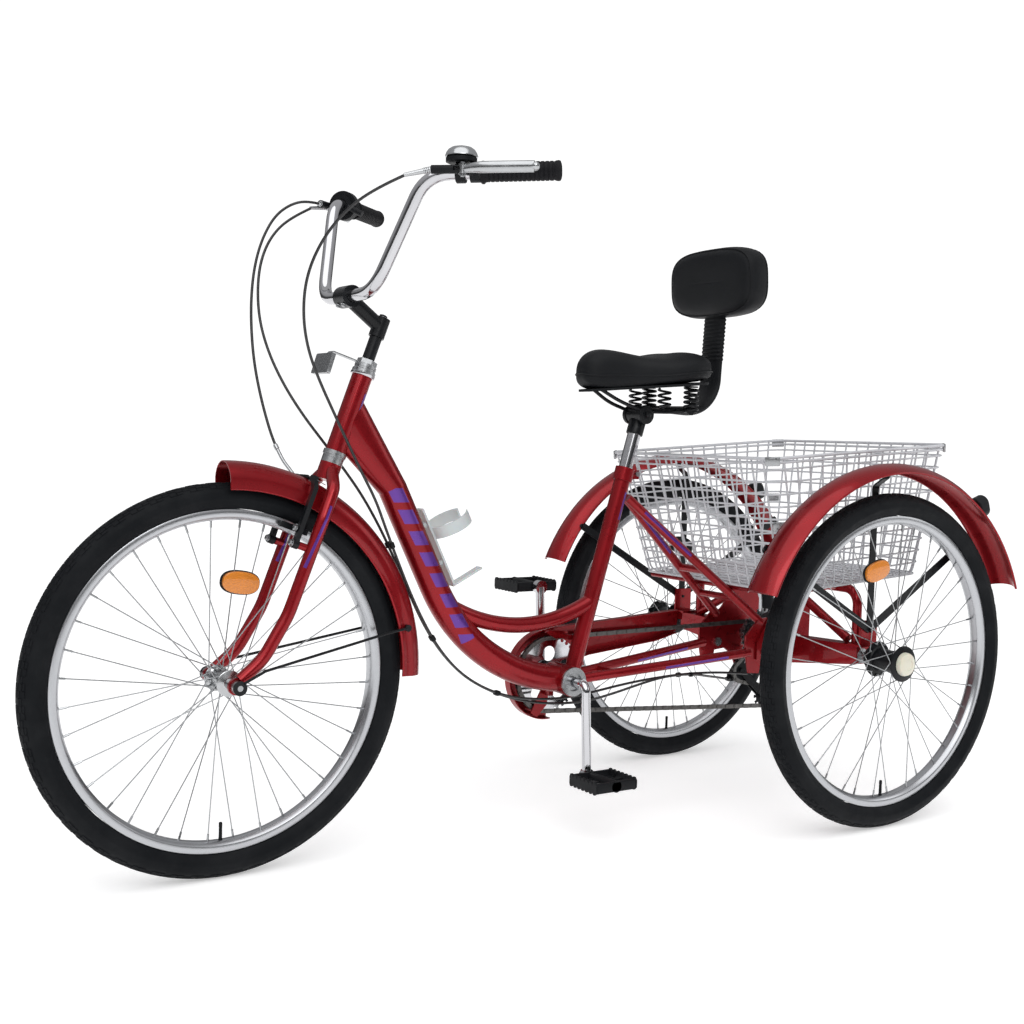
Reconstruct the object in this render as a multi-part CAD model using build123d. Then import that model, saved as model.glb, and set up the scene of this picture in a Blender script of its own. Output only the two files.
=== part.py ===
from build123d import *
import math
import os

# Adult tricycle: a step-through frame, one steered front wheel and two rear wheels that carry a basket.
# +X runs forward, +Y to the rider's left, +Z up.  The model is laid out with x = 0 at the rear axle,
# y = 0 on the middle plane and z = 0 on the ground, and is then moved to the middle of its length.

# Wheels: 26 inch, all three alike
WHEEL_RADIUS = 330.0
TYRE_SECTION_RADIUS = 24.0
TYRE_WALL = 3.5
TYRE_BORE_HALF_WIDTH = 10.0
RIM_SEAT_RADIUS = WHEEL_RADIUS - 2 * TYRE_SECTION_RADIUS + 4.0
RIM_DEPTH = 18.0
RIM_HALF_WIDTH = 15.0
RIM_WALL = 2.0
SPOKE_COUNT = 36
SPOKE_RADIUS = 1.0
SPOKE_CROSSING_DEG = 50.0
VALVE_RADIUS = 3.5
VALVE_LENGTH = 30.0
WHEELBASE = 1238.0
REAR_WHEEL_Y = 328.0

# Hubs
FRONT_HUB_BARREL_RADIUS = 14.0
FRONT_HUB_FLANGE_RADIUS = 22.0
FRONT_HUB_FLANGE_Y = 30.0
FRONT_AXLE_RADIUS = 4.8
REAR_HUB_BARREL_RADIUS = 22.0
REAR_HUB_FLANGE_RADIUS = 35.0
REAR_HUB_INNER_FLANGE_Y = REAR_WHEEL_Y - 22.0
REAR_HUB_OUTER_FLANGE_Y = REAR_WHEEL_Y + 42.0
REAR_HUB_INNER_END_Y = 288.0
HUB_FLANGE_THICKNESS = 4.0
HUB_CAP_RADIUS = 23.0
HUB_CAP_LENGTH = 12.0
REAR_AXLE_RADIUS = 8.5
RUNNING_CLEARANCE = 0.05
BODY_GAP = 0.4

# Front frame
HEAD_ANGLE_DEG = 70.0
HEAD_TUBE_FOOT = (1042.0, 0.0, 713.0)
HEAD_TUBE_LENGTH = 143.0
HEAD_TUBE_RADIUS = 18.0
HEAD_TUBE_BORE_RADIUS = 16.0
BOTTOM_BRACKET = (545.0, 0.0, 280.0)
BOTTOM_BRACKET_RADIUS = 29.0
BOTTOM_BRACKET_BORE_RADIUS = 26.0
BOTTOM_BRACKET_HALF_WIDTH = 34.0
DOWN_TUBE_RADIUS = 26.0
DOWN_TUBE_WALL = 2.0
DOWN_TUBE_BEND_RADIUS = 350.0
DOWN_TUBE_CORNER = (759.0, 0.0, 312.0)
DOWN_TUBE_FLARE_START = (930.0, 0.0, 651.0)
FLARE_HEIGHT_ON_HEAD_TUBE = 62.0
FLARE_HALF_LENGTH = 52.0
FLARE_HALF_WIDTH = 17.0
BRACE_RADIUS = 15.0
BRACE_WALL = 1.8
BRACE_FRONT = (808.0, 0.0, 435.4)
BRACE_MIDDLE = (643.0, 0.0, 391.0)
BRACE_REAR = (480.0, 0.0, 431.8)
SEAT_TUBE_FOOT = (527.0, 0.0, 280.0)
SEAT_TUBE_TOP = (408.0, 0.0, 692.0)
SEAT_COLLAR_LENGTH = 26.0
SEAT_POST_RADIUS = 13.6
SEAT_TUBE_WALL = 2.4
SEAT_TUBE_RADIUS = SEAT_POST_RADIUS + SEAT_TUBE_WALL
SEAT_COLLAR_RADIUS = SEAT_TUBE_RADIUS + 3.5
SEAT_POST_STANDOUT = 100.0
SEAT_POST_INSERTION = 150.0

# Rear triangle and dropouts
SEAT_STAY_RADIUS = 9.0
SEAT_STAY_TOP = (402.0, 3.0, 633.3)
SEAT_STAY_FOOT = (90.0, 68.0, 376.0)
CHAIN_STAY_RADIUS = 9.5
CHAIN_STAY_FRONT = (525.0, 20.0, 281.0)
CHAIN_STAY_FOOT = (122.0, 71.0, 315.2)
DROPOUT_INNER_Y = 70.0
DROPOUT_THICKNESS = 5.0
DROPOUT_BOLT = (84.0, 315.0)
DROPOUT_BOLT_RADIUS = 5.0

# Rear carrier: centre plates, tapered axle beams, diagonals, basket hoop and fender lugs
CARRIER_PLATE_THICKNESS = 5.0
BEAM_HALF_DEPTH = 18.0
BEAM_WALL = 3.0
BEAM_END_Y = 268.0
BEAM_ROOT_BOTTOM = 288.0
BEAM_ROOT_TOP = 345.0
BEAM_END_BOTTOM = 314.0
BEAM_END_TOP = 351.0
AXLE_BEARING_RADIUS = 15.0
AXLE_BEARING_LENGTH = 12.0
DIAGONAL_RADIUS = 9.5
HOOP_RADIUS = 9.5
HOOP_X = -12.0
HOOP_FOOT_Y = 238.0
HOOP_BEND_RADIUS = 32.0
FRONT_BAR_RADIUS = 5.0
FRONT_BAR_X = 160.0
FRONT_BAR_HALF_LENGTH = 205.0
LUG_OUTER_Y = 284.0
LUG_THICKNESS = 4.0

# Fenders
FENDER_SHEET = 1.8
FENDER_BEAD_RADIUS = 2.4
FRONT_FENDER_CROWN = 366.0
FRONT_FENDER_EDGE = 320.0
FRONT_FENDER_HALF_WIDTH = 36.0
FRONT_FENDER_ANGLES = (89.0, 182.0)
REAR_FENDER_CROWN = 388.0
REAR_FENDER_EDGE = 370.0
REAR_FENDER_HALF_WIDTH = 37.0
REAR_FENDER_ANGLES = (23.0, 159.0)
FENDER_STAY_WIDTH = 16.0
FENDER_STAY_THICKNESS = 3.0
FENDER_STAY_WIRE_RADIUS = 2.4
REAR_REFLECTOR_ANGLE = 131.0

# Basket
BASKET_TILT_DEG = 4.2
BASKET_FLOOR_CENTRE = (-20.0, 0.0, 470.0)
BASKET_FLOOR_LENGTH = 380.0
BASKET_FLOOR_WIDTH = 450.0
BASKET_RIM_LENGTH = 512.0
BASKET_RIM_WIDTH = 504.0
BASKET_DEPTH = 272.0
BASKET_WALL = 1.2
BASKET_CORNER_RADIUS = 30.0

# Steering
FORK_RAKE = 53.0
FORK_CROWN_FOOT = -52.0
FORK_BLADE_RADIUS = 11.0
FORK_BLADE_Y = 58.0
STEERER_RADIUS = 12.7
QUILL_RADIUS = 11.1
QUILL_TOP = 250.0
QUILL_FOOT = 90.0
BAR_RADIUS = 11.1
BAR_WALL = 1.8
BAR_CLAMP = (1025.0, 0.0, 980.0)
BAR_LOW_CORNER = (1025.0, 98.0, 982.0)
BAR_HIGH_CORNER = (973.0, 172.0, 1170.0)
BAR_END = (813.0, 315.0, 1175.0)
BAR_BEND_RADIUS = 42.0
GRIP_RADIUS = 15.5
GRIP_START = 92.0
GRIP_LENGTH = 122.0
LEVER_PIVOT_ALONG = 66.0
LEVER_PIVOT_AHEAD = 30.0
LEVER_REACH = 118.0
BELL_RADIUS = 27.0
BELL_ALONG = 58.0
BELL_BASE_LOW = 17.5
BELL_BASE_HIGH = 25.0
BELL_DOME_HEIGHT = 18.0
SHIFTER_RADIUS = 27.0
SHIFTER_ALONG = 40.0
SHIFTER_WIDTH = 17.0

# Front brake, in the frame of the steering axis
BRAKE_PLANE = 36.0
BRAKE_PIVOT_Y = 50.0
BRAKE_PIVOT_Z = -176.0
BRAKE_ARM_LENGTH = 120.0
BRAKE_ARM_TOP_Y = 26.0
BRAKE_PAD_GAP = 2.0
BRAKE_PAD_Z = -150.0

# Drivetrain, all in one chain plane
CHAIN_Y = -50.0
CHAIN_PITCH = 12.7
RING_TEETH = 36
SMALL_COG_TEETH = 14
COG_TEETH = (14, 16, 18, 20, 22, 24, 28)
COG_SPACING = 5.0
COG_THICKNESS = 1.8
PULLEY_TEETH = 11
GUIDE_PULLEY = (28.0, 248.0)
TENSION_PULLEY = (-40.0, 189.0)
CHAIN_PLATE_GAP = 3.6
CHAIN_PLATE_THICKNESS = 1.2
CHAIN_PLATE_HEIGHT = 8.0
CHAIN_ROLLER_RADIUS = 3.8
TOOTH_HEIGHT = 3.2
CRANK_LENGTH = 170.0
CRANK_EYE_Y = 88.0
CRANK_ROOT_Y = 68.0
CRANK_SPINDLE_RADIUS = 10.0
CRANK_ARM_RADIUS = 9.0
PEDAL_AXLE_RADIUS = 5.0
PEDAL_LENGTH = 96.0
PEDAL_WIDTH = 84.0
PEDAL_HEIGHT = 24.0
PEDAL_INNER_Y = 98.0
GUARD_RADIUS = 90.0
GUARD_SHEET = 1.6
GUARD_OUTER_Y = -69.0
GUARD_DEPTH = 17.0

# Band brake on the axle
BRAKE_DRUM_RADIUS = 45.0
BRAKE_COVER_RADIUS = 60.0
BRAKE_COVER_Y = (12.0, 44.0)
BRAKE_ARM_PIVOT = (30.0, 290.0)

# Saddle and backrest
SADDLE_LENGTH = 262.0
SADDLE_HALF_WIDTH = 120.0
SADDLE_NOSE = 528.0
BACKREST_WIDTH = 250.0
BACKREST_CORNER_RADIUS = 40.0
BACKREST_HEIGHT = 142.0
BACKREST_THICKNESS = 58.0
BACKREST_CENTRE = (186.0, 0.0, 1076.0)
BACKREST_POST_WIDTH = 56.0
BACKREST_POST_THICKNESS = 6.0
RAIL_RADIUS = 3.5

# Cables
CABLE_RADIUS = 2.5
LEFT_BRAKE_CABLE = [
    (1020, 190, 1160), (1060, 158, 1137), (1097, 126, 1100), (1125, 102, 1052), (1141, 84, 996),
    (1140, 72, 936), (1125, 62, 880), (1099, 54, 830), (1069, 47, 780), (1038, 41, 728),
    (1008, 36, 678), (978, 31, 632), (951, 20, 580), (922, 14, 521), (893, 9, 463), (862, 9, 405),
    (826, 9, 352), (782, 9, 308), (730, 9, 277), (672, 9, 256), (615, 8, 247), (560, 6, 243),
    (505, 5, 245), (450, 5, 252), (395, 6, 259), (340, 7, 264), (285, 8, 267), (230, 8, 268),
    (175, 8, 266), (120, 9, 262), (66, 9.6, 256),
]
SHIFT_CABLE = [
    (1000, -212, 1161), (1043, -210, 1138), (1083, -199, 1101), (1110, -182, 1054), (1125, -160, 1000),
    (1130, -136, 940), (1123, -108, 882), (1106, -78, 826), (1080, -52, 774), (1047, -36, 728),
    (1012, -29, 684), (976, -24, 636), (944, -14, 578), (915, -10, 520), (886, -9, 461), (855, -9, 403),
    (818, -9, 350), (773, -9, 306), (721, -9, 274), (664, -7, 251), (607, 0, 238), (552, 10, 233),
    (497, 24, 237), (443, 36, 250), (388, 45, 265), (332, 50, 276), (276, 46, 276), (220, 26, 268),
    (168, -2, 256), (116, -32, 245), (66, -54, 234),
]
FRONT_BRAKE_CABLE = [
    (986, -206, 1169.5), (1013, -205, 1172), (1042, -212, 1163), (1073, -212, 1138), (1099, -206, 1093),
    (1117, -195, 1042),
    (1128, -181, 984), (1133, -165, 924), (1134, -146, 864), (1130, -124, 806), (1123, -101, 752),
    (1117, -86, 722), (1108, -70, 694), (1101, -57.5, 680), (1096.8, -45.4, 668.6),
]

sine = math.sin(math.radians(HEAD_ANGLE_DEG))
cosine = math.cos(math.radians(HEAD_ANGLE_DEG))
STEER = Plane(origin=HEAD_TUBE_FOOT, x_dir=(sine, 0, cosine), z_dir=(-cosine, 0, sine))
REAR_REACH = REAR_FENDER_CROWN * math.cos(math.radians(REAR_FENDER_ANGLES[1]))
ORIGIN_X = (WHEELBASE + WHEEL_RADIUS + REAR_REACH) / 2


# ---------------------------------------------------------------- shape helpers

def group(*shapes):
    """Keep every piece as its own solid in one node."""
    return Compound([solid for shape in shapes for solid in shape.solids()])


def mirrored(shape):
    """The same piece on the other side of the middle plane."""
    return mirror(shape, about=Plane.XZ)


def both(shape):
    """A left piece and its right twin."""
    return group(shape, mirrored(shape))


def rod(start, end, radius):
    """A round bar between two points."""
    start = Vector(start)
    run = Vector(end) - start
    return extrude(Plane(origin=start, z_dir=run) * Circle(radius), amount=run.length)


def disc(x, z, y_from, y_to, radius, bore=0.0):
    """A disc or ring about a line along Y."""
    ring = rod((x, y_from, z), (x, y_to, z), radius)
    if bore:
        ring -= rod((x, y_from, z), (x, y_to, z), bore)
    return ring


def plate(outline, y_from, y_to):
    """A flat plate from its side view."""
    face = make_face(Polyline(*[(x, y_from, z) for x, z in outline], close=True))
    return extrude(face, amount=y_to - y_from, dir=(0, 1, 0))


def block(x_from, x_to, y_from, y_to, z_from, z_to):
    """A box between two corners."""
    size = (x_to - x_from, y_to - y_from, z_to - z_from)
    centre = ((x_from + x_to) / 2, (y_from + y_to) / 2, (z_from + z_to) / 2)
    return Pos(*centre) * Box(*size)


def swept(path, radius, bore=0.0):
    """A bar or tube along a path."""
    section = Circle(radius) - Circle(bore) if bore else Circle(radius)
    return sweep(Plane(origin=path @ 0, z_dir=path % 0) * section, path=path)


def steered(x, y, z):
    """A point given in the frame of the steering axis."""
    return STEER.from_local_coords(Vector(x, y, z))


def steering_ring(z_from, z_to, radius, bore):
    """A ring about the steering axis."""
    ring = rod(steered(0, 0, z_from), steered(0, 0, z_to), radius)
    return ring - rod(steered(0, 0, z_from - 1), steered(0, 0, z_to + 1), bore)


def cable(points, name):
    """A cable through hand-set points, each bend as round as its two runs allow."""
    route = [Vector(point) for point in points]
    radii = []
    for before, here, after in zip(route, route[1:], route[2:]):
        turn = (here - before).get_angle(after - here)
        shorter = min((here - before).length, (after - here).length)
        radii.append(0.45 * shorter / math.tan(math.radians(turn / 2)))
    path = FilletPolyline(*route, radius=radii)
    tube = swept(path, CABLE_RADIUS)
    expected = math.pi * CABLE_RADIUS ** 2 * path.length
    print(name, "length %.0f" % path.length, "least bend %.0f" % min(radii),
          "volume ratio %.4f" % (tube.volume / expected))
    return tube


def pitch_radius(teeth):
    """Radius of the chain's pitch line on a sprocket."""
    return CHAIN_PITCH / (2 * math.sin(math.pi / teeth))


# ---------------------------------------------------------------- wheels

def radial_plane(x, y):
    """Lateral distance and radius, seen at the top of a wheel."""
    return Plane(origin=(x, y, WHEEL_RADIUS), x_dir=(0, 1, 0), z_dir=(1, 0, 0))


def spin(face, x, y):
    return revolve(face, Axis((x, y, WHEEL_RADIUS), (0, 1, 0)), 360)


def tyre(x, y):
    centre_radius = WHEEL_RADIUS - TYRE_SECTION_RADIUS
    plane = radial_plane(x, y)
    section = Pos(0, centre_radius) * (Circle(TYRE_SECTION_RADIUS) - Circle(TYRE_SECTION_RADIUS - TYRE_WALL))
    section -= Pos(0, centre_radius - 30) * Rectangle(2 * TYRE_BORE_HALF_WIDTH, 60)
    section -= Pos(0, RIM_SEAT_RADIUS / 2) * Rectangle(80, RIM_SEAT_RADIUS)
    return spin(plane * section, x, y)


def rim(x, y):
    plane = radial_plane(x, y)
    inner = RIM_SEAT_RADIUS - RIM_DEPTH
    outer_shape = [(-RIM_HALF_WIDTH, RIM_SEAT_RADIUS), (RIM_HALF_WIDTH, RIM_SEAT_RADIUS),
                   (RIM_HALF_WIDTH, inner + 6), (6, inner), (-6, inner), (-RIM_HALF_WIDTH, inner + 6)]
    ring = make_face(Polyline(*outer_shape, close=True))
    hollow = offset(ring, -RIM_WALL, kind=Kind.INTERSECTION)
    return spin(plane * (ring - hollow), x, y)


def spokes(x, flange_sides, wheel_y, flange_radius):
    """Crossed spokes in two layers, from the inner faces of both flanges to the rim."""
    wires = []
    rim_radius = RIM_SEAT_RADIUS - RIM_DEPTH - BODY_GAP
    root_radius = flange_radius - 4.0
    layer = 2 * SPOKE_RADIUS + 0.2
    for index in range(SPOKE_COUNT):
        side = flange_sides[index % 2]
        trailing = (index // 2) % 2
        inward = math.copysign(1.0, wheel_y - side)
        tip_angle = math.radians(360.0 / SPOKE_COUNT * (index + 0.5))
        root_angle = tip_angle + math.radians(SPOKE_CROSSING_DEG if trailing else -SPOKE_CROSSING_DEG)
        root_y = side + inward * (HUB_FLANGE_THICKNESS / 2 + SPOKE_RADIUS + 0.1 + layer * trailing)
        tip_y = wheel_y - inward * (5.2 - layer * trailing)
        root_x, root_z = on_wheel(x, root_radius, math.degrees(root_angle))
        tip_x, tip_z = on_wheel(x, rim_radius, math.degrees(tip_angle))
        wires.append(rod((root_x, root_y, root_z), (tip_x, tip_y, tip_z), SPOKE_RADIUS))
    return wires


def front_hub():
    x = WHEELBASE
    end = FRONT_HUB_FLANGE_Y + HUB_FLANGE_THICKNESS / 2
    shell = disc(x, WHEEL_RADIUS, -end, end, FRONT_HUB_BARREL_RADIUS)
    for y in (-FRONT_HUB_FLANGE_Y, FRONT_HUB_FLANGE_Y):
        half = HUB_FLANGE_THICKNESS / 2
        shell += disc(x, WHEEL_RADIUS, y - half, y + half, FRONT_HUB_FLANGE_RADIUS)
    return shell - disc(x, WHEEL_RADIUS, -60, 60, FRONT_AXLE_RADIUS + RUNNING_CLEARANCE)


def rear_hub(bore):
    """Left hub shell, and the cap that closes the axle's end."""
    half = HUB_FLANGE_THICKNESS / 2
    end = REAR_HUB_OUTER_FLANGE_Y + half
    shell = disc(0, WHEEL_RADIUS, REAR_HUB_INNER_END_Y, end, REAR_HUB_BARREL_RADIUS)
    for y in (REAR_HUB_INNER_FLANGE_Y, REAR_HUB_OUTER_FLANGE_Y):
        shell += disc(0, WHEEL_RADIUS, y - half, y + half, REAR_HUB_FLANGE_RADIUS)
    shell -= disc(0, WHEEL_RADIUS, REAR_HUB_INNER_END_Y - 1, end + 1, bore)
    cap = disc(0, WHEEL_RADIUS, end, end + HUB_CAP_LENGTH, HUB_CAP_RADIUS)
    cap = fillet(cap.edges().sort_by(Axis.Y)[-1], 5.0)
    cap -= disc(0, WHEEL_RADIUS, end - 1, end + 6, REAR_AXLE_RADIUS + BODY_GAP)
    return group(shell, cap)


def valve(x, y):
    """Valve stem through the rim at the bottom of the wheel, in the tyre's node."""
    foot = WHEEL_RADIUS - (RIM_SEAT_RADIUS - RIM_DEPTH) + 0.2
    return rod((x, y, foot), (x, y, foot + VALVE_LENGTH), VALVE_RADIUS)


# ---------------------------------------------------------------- main frame

def head_tube():
    return steering_ring(0, HEAD_TUBE_LENGTH, HEAD_TUBE_RADIUS, HEAD_TUBE_BORE_RADIUS)


def solid_head_tube():
    return rod(steered(0, 0, -30), steered(0, 0, HEAD_TUBE_LENGTH + 30), HEAD_TUBE_RADIUS)


def solid_bottom_bracket():
    half = BOTTOM_BRACKET_HALF_WIDTH
    return disc(BOTTOM_BRACKET[0], BOTTOM_BRACKET[2], -half, half, BOTTOM_BRACKET_RADIUS)


def solid_seat_tube():
    return rod(SEAT_TUBE_FOOT, SEAT_TUBE_TOP, SEAT_TUBE_RADIUS)


def down_tube_path():
    return FilletPolyline(DOWN_TUBE_FLARE_START, DOWN_TUBE_CORNER, BOTTOM_BRACKET, radius=DOWN_TUBE_BEND_RADIUS)


def flare(inset):
    """The tube's upper end, drawn out along the head tube."""
    path = down_tube_path()
    round_end = Plane(origin=path @ 0, x_dir=(0, 1, 0), z_dir=-(path % 0))
    head_point = steered(0, 0, FLARE_HEIGHT_ON_HEAD_TUBE)
    flat_end = Plane(origin=head_point, x_dir=(0, 1, 0), z_dir=STEER.x_dir)
    near = round_end * Circle(DOWN_TUBE_RADIUS - inset)
    far = flat_end * Ellipse(FLARE_HALF_WIDTH - inset, FLARE_HALF_LENGTH - inset)
    return loft([near, far])


def solid_down_tube():
    return swept(down_tube_path(), DOWN_TUBE_RADIUS) + flare(0)


def down_tube():
    tube = swept(down_tube_path(), DOWN_TUBE_RADIUS) + flare(0)
    tube -= swept(down_tube_path(), DOWN_TUBE_RADIUS - DOWN_TUBE_WALL)
    tube -= flare(DOWN_TUBE_WALL)
    tube -= solid_head_tube()
    tube -= solid_bottom_bracket()
    tube -= solid_seat_tube()
    return group(tube.solids().sort_by(SortBy.VOLUME)[-1])


def brace_tube():
    path = ThreePointArc(BRACE_FRONT, BRACE_MIDDLE, BRACE_REAR)
    tube = swept(path, BRACE_RADIUS, BRACE_RADIUS - BRACE_WALL)
    tube -= solid_down_tube()
    tube -= solid_seat_tube()
    return group(tube.solids().sort_by(SortBy.VOLUME)[-1])


def seat_tube():
    """Seat tube with its clamp collar, welded to the bottom bracket shell."""
    direction = (Vector(SEAT_TUBE_TOP) - Vector(SEAT_TUBE_FOOT)).normalized()
    top = Vector(SEAT_TUBE_TOP)
    tube = solid_seat_tube()
    tube += rod(top - direction * SEAT_COLLAR_LENGTH, top, SEAT_COLLAR_RADIUS)
    ear = Plane(origin=top - direction * (SEAT_COLLAR_LENGTH / 2) - Vector(SEAT_COLLAR_RADIUS + 4, 0, 0))
    tube += ear * Box(18, 16, 18)
    tube += solid_bottom_bracket()
    bore = SEAT_POST_RADIUS + RUNNING_CLEARANCE
    tube -= rod(Vector(SEAT_TUBE_FOOT) + direction * 34, top + direction * 5, bore)
    half = BOTTOM_BRACKET_HALF_WIDTH + 1
    tube -= disc(BOTTOM_BRACKET[0], BOTTOM_BRACKET[2], -half, half, BOTTOM_BRACKET_BORE_RADIUS)
    slit = Plane(origin=top - Vector(30, 0, 12)) * Box(50, 2.5, 50)
    return tube - slit


def dropout():
    """Left dropout plate with its bolt hole."""
    bolt_x, bolt_z = DROPOUT_BOLT
    outline = [(135, 330), (130, 297), (124, 272), (96, 270), (90, 297), (58, 300), (56, 352), (78, 386),
               (100, 384), (135, 350)]
    piece = plate(outline, DROPOUT_INNER_Y, DROPOUT_INNER_Y + DROPOUT_THICKNESS)
    return piece - disc(bolt_x, bolt_z, DROPOUT_INNER_Y - 1, DROPOUT_INNER_Y + 6, DROPOUT_BOLT_RADIUS)


def chain_stays():
    """Both chain stays with their bridge and dropout plates."""
    stay = rod(CHAIN_STAY_FRONT, CHAIN_STAY_FOOT, CHAIN_STAY_RADIUS)
    stay -= solid_bottom_bracket()
    stay -= solid_seat_tube()
    piece = stay + dropout()
    right = mirrored(piece)
    bridge = rod((440, -33, 289), (440, 33, 289), 6.0) - stay - mirrored(stay)
    bridge = bridge.solids().sort_by(SortBy.VOLUME)[-1]
    hanger_outline = [(62, 300), (62, 318), (34, 304), (6, 300), (8, 262), (28, 262), (38, 284)]
    outer = DROPOUT_INNER_Y + DROPOUT_THICKNESS
    hanger = plate(hanger_outline, -outer, -DROPOUT_INNER_Y)
    return group(piece, right + hanger, bridge)


def seat_stays():
    """Both seat stays, met on the middle plane, with two bridges."""
    left_half = block(0, 500, 0, 200, 300, 700)
    stay = rod(SEAT_STAY_TOP, SEAT_STAY_FOOT, SEAT_STAY_RADIUS) & left_half
    stay -= solid_seat_tube()
    stay -= rod(Vector(SEAT_TUBE_TOP), Vector(SEAT_TUBE_TOP) - Vector(-7.2, 0, 25), SEAT_COLLAR_RADIUS)
    stay -= dropout()
    stay = group(stay.solids().sort_by(SortBy.VOLUME)[-1])
    top = Vector(SEAT_STAY_TOP)
    foot = Vector(SEAT_STAY_FOOT)
    bridges = []
    for share, radius in ((0.575, 8.0), (0.80, 7.0)):
        place = top + (foot - top) * share
        bar = rod((place.X, -place.Y, place.Z), (place.X, place.Y, place.Z), radius)
        bar = bar - stay - mirrored(stay)
        bridges.append(bar.solids().sort_by(SortBy.VOLUME)[-1])
    return group(stay, mirrored(stay), *bridges)


# ---------------------------------------------------------------- rear carrier

def beam_outline(inset):
    root_y = DROPOUT_INNER_Y + DROPOUT_THICKNESS + CARRIER_PLATE_THICKNESS
    return [(root_y + inset, BEAM_ROOT_BOTTOM + inset), (BEAM_END_Y - inset, BEAM_END_BOTTOM + inset),
            (BEAM_END_Y - inset, BEAM_END_TOP - inset), (HOOP_FOOT_Y - 10, BEAM_END_TOP - inset),
            (root_y + inset, BEAM_ROOT_TOP - inset)]


def beam_box(inset):
    half = BEAM_HALF_DEPTH - inset
    face = make_face(Polyline(*[(-half, y, z) for y, z in beam_outline(inset)], close=True))
    return extrude(face, amount=2 * half, dir=(1, 0, 0))


def axle_beam():
    """Left tapered box beam round the axle, with the bearing seat in its outer end."""
    beam = beam_box(0) - beam_box(BEAM_WALL)
    beam -= disc(0, WHEEL_RADIUS, 60, BEAM_END_Y + 5, REAR_AXLE_RADIUS + 2)
    seat = BEAM_END_Y - AXLE_BEARING_LENGTH
    boss = disc(0, WHEEL_RADIUS, seat, BEAM_END_Y, AXLE_BEARING_RADIUS + 2)
    beam += boss & beam_box(0)
    return beam - disc(0, WHEEL_RADIUS, seat - 1, BEAM_END_Y + 1, AXLE_BEARING_RADIUS)


def carrier_plate():
    """Left centre plate that bolts to the dropout and carries the inner bearing."""
    outline = [(-42, 300), (108, 300), (108, 336), (84, 372), (30, 432), (8, 448), (-20, 448), (-42, 404)]
    inner = DROPOUT_INNER_Y + DROPOUT_THICKNESS
    piece = plate(outline, inner, inner + CARRIER_PLATE_THICKNESS)
    piece -= disc(0, WHEEL_RADIUS, inner - 1, inner + 9, AXLE_BEARING_RADIUS)
    return piece - disc(*DROPOUT_BOLT, inner - 1, inner + 9, DROPOUT_BOLT_RADIUS)


def floor_height(x):
    """Underside of the tilted basket floor above a point of the carrier."""
    slope = math.tan(math.radians(BASKET_TILT_DEG))
    return BASKET_FLOOR_CENTRE[2] - (x - BASKET_FLOOR_CENTRE[0]) * slope


def rear_carrier():
    """The bolted-on rear subframe: plates, beams, diagonals, basket hoop, front bar and fender lugs."""
    outer_face = DROPOUT_INNER_Y + DROPOUT_THICKNESS + CARRIER_PLATE_THICKNESS
    beam = axle_beam()
    diagonal = rod((-5, outer_face - 8, 440), (-5, 224, 358), DIAGONAL_RADIUS)
    diagonal -= block(-60, 60, 0, outer_face, 300, 500)
    diagonal -= beam_box(0)
    lug = block(-20, 26, LUG_OUTER_Y - LUG_THICKNESS, LUG_OUTER_Y, BEAM_END_TOP, 404)
    lug += block(-20, 26, 252, LUG_OUTER_Y, BEAM_END_TOP, BEAM_END_TOP + LUG_THICKNESS)
    lug = lug - disc(4, 386, LUG_OUTER_Y - 10, LUG_OUTER_Y + 1, 3.2)
    side = carrier_plate() + beam + diagonal.solids().sort_by(SortBy.VOLUME)[-1] + lug
    hoop_z = floor_height(HOOP_X) - HOOP_RADIUS - 0.3
    hoop_path = FilletPolyline((HOOP_X, -HOOP_FOOT_Y, BEAM_END_TOP), (HOOP_X, -HOOP_FOOT_Y, hoop_z),
                               (HOOP_X, HOOP_FOOT_Y, hoop_z), (HOOP_X, HOOP_FOOT_Y, BEAM_END_TOP),
                               radius=HOOP_BEND_RADIUS)
    hoop = swept(hoop_path, HOOP_RADIUS)
    bar_z = floor_height(FRONT_BAR_X) - FRONT_BAR_RADIUS - 0.3
    bar = rod((FRONT_BAR_X, -FRONT_BAR_HALF_LENGTH, bar_z), (FRONT_BAR_X, FRONT_BAR_HALF_LENGTH, bar_z),
              FRONT_BAR_RADIUS)
    bar -= rod(SEAT_STAY_TOP, SEAT_STAY_FOOT, SEAT_STAY_RADIUS)
    bar -= mirrored(rod(SEAT_STAY_TOP, SEAT_STAY_FOOT, SEAT_STAY_RADIUS))
    rails = []
    for y in (-FRONT_BAR_HALF_LENGTH + 20, FRONT_BAR_HALF_LENGTH - 20):
        rear_end = (HOOP_X + HOOP_RADIUS + 0.2, y, hoop_z + 1)
        front_end = (FRONT_BAR_X - FRONT_BAR_RADIUS - 0.2, y, bar_z)
        rails.append(rod(rear_end, front_end, FRONT_BAR_RADIUS - 0.5))
    return group(side, mirrored(side), hoop, bar, *rails)


# ---------------------------------------------------------------- fenders and basket

def arch(half_width, crown, edge):
    """Cross-section of a fender: a curved sheet with a rolled bead on each edge."""
    height = crown - edge
    outer_radius = (half_width ** 2 + height ** 2) / (2 * height)
    centre = crown - outer_radius
    inner_radius = outer_radius - FENDER_SHEET
    shrink = inner_radius / outer_radius
    inner_edge = (half_width * shrink, centre + (edge - centre) * shrink)
    far_inner_edge = (-inner_edge[0], inner_edge[1])
    outer = ThreePointArc((-half_width, edge), (0, crown), (half_width, edge))
    inner = ThreePointArc(inner_edge, (0, crown - FENDER_SHEET), far_inner_edge)
    sides = [Line((half_width, edge), inner_edge), Line(far_inner_edge, (-half_width, edge))]
    face = make_face([outer, inner] + sides)
    bead = Pos(half_width - FENDER_BEAD_RADIUS, edge) * Circle(FENDER_BEAD_RADIUS)
    return face + bead + mirror(bead, about=Plane.YZ)


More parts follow.
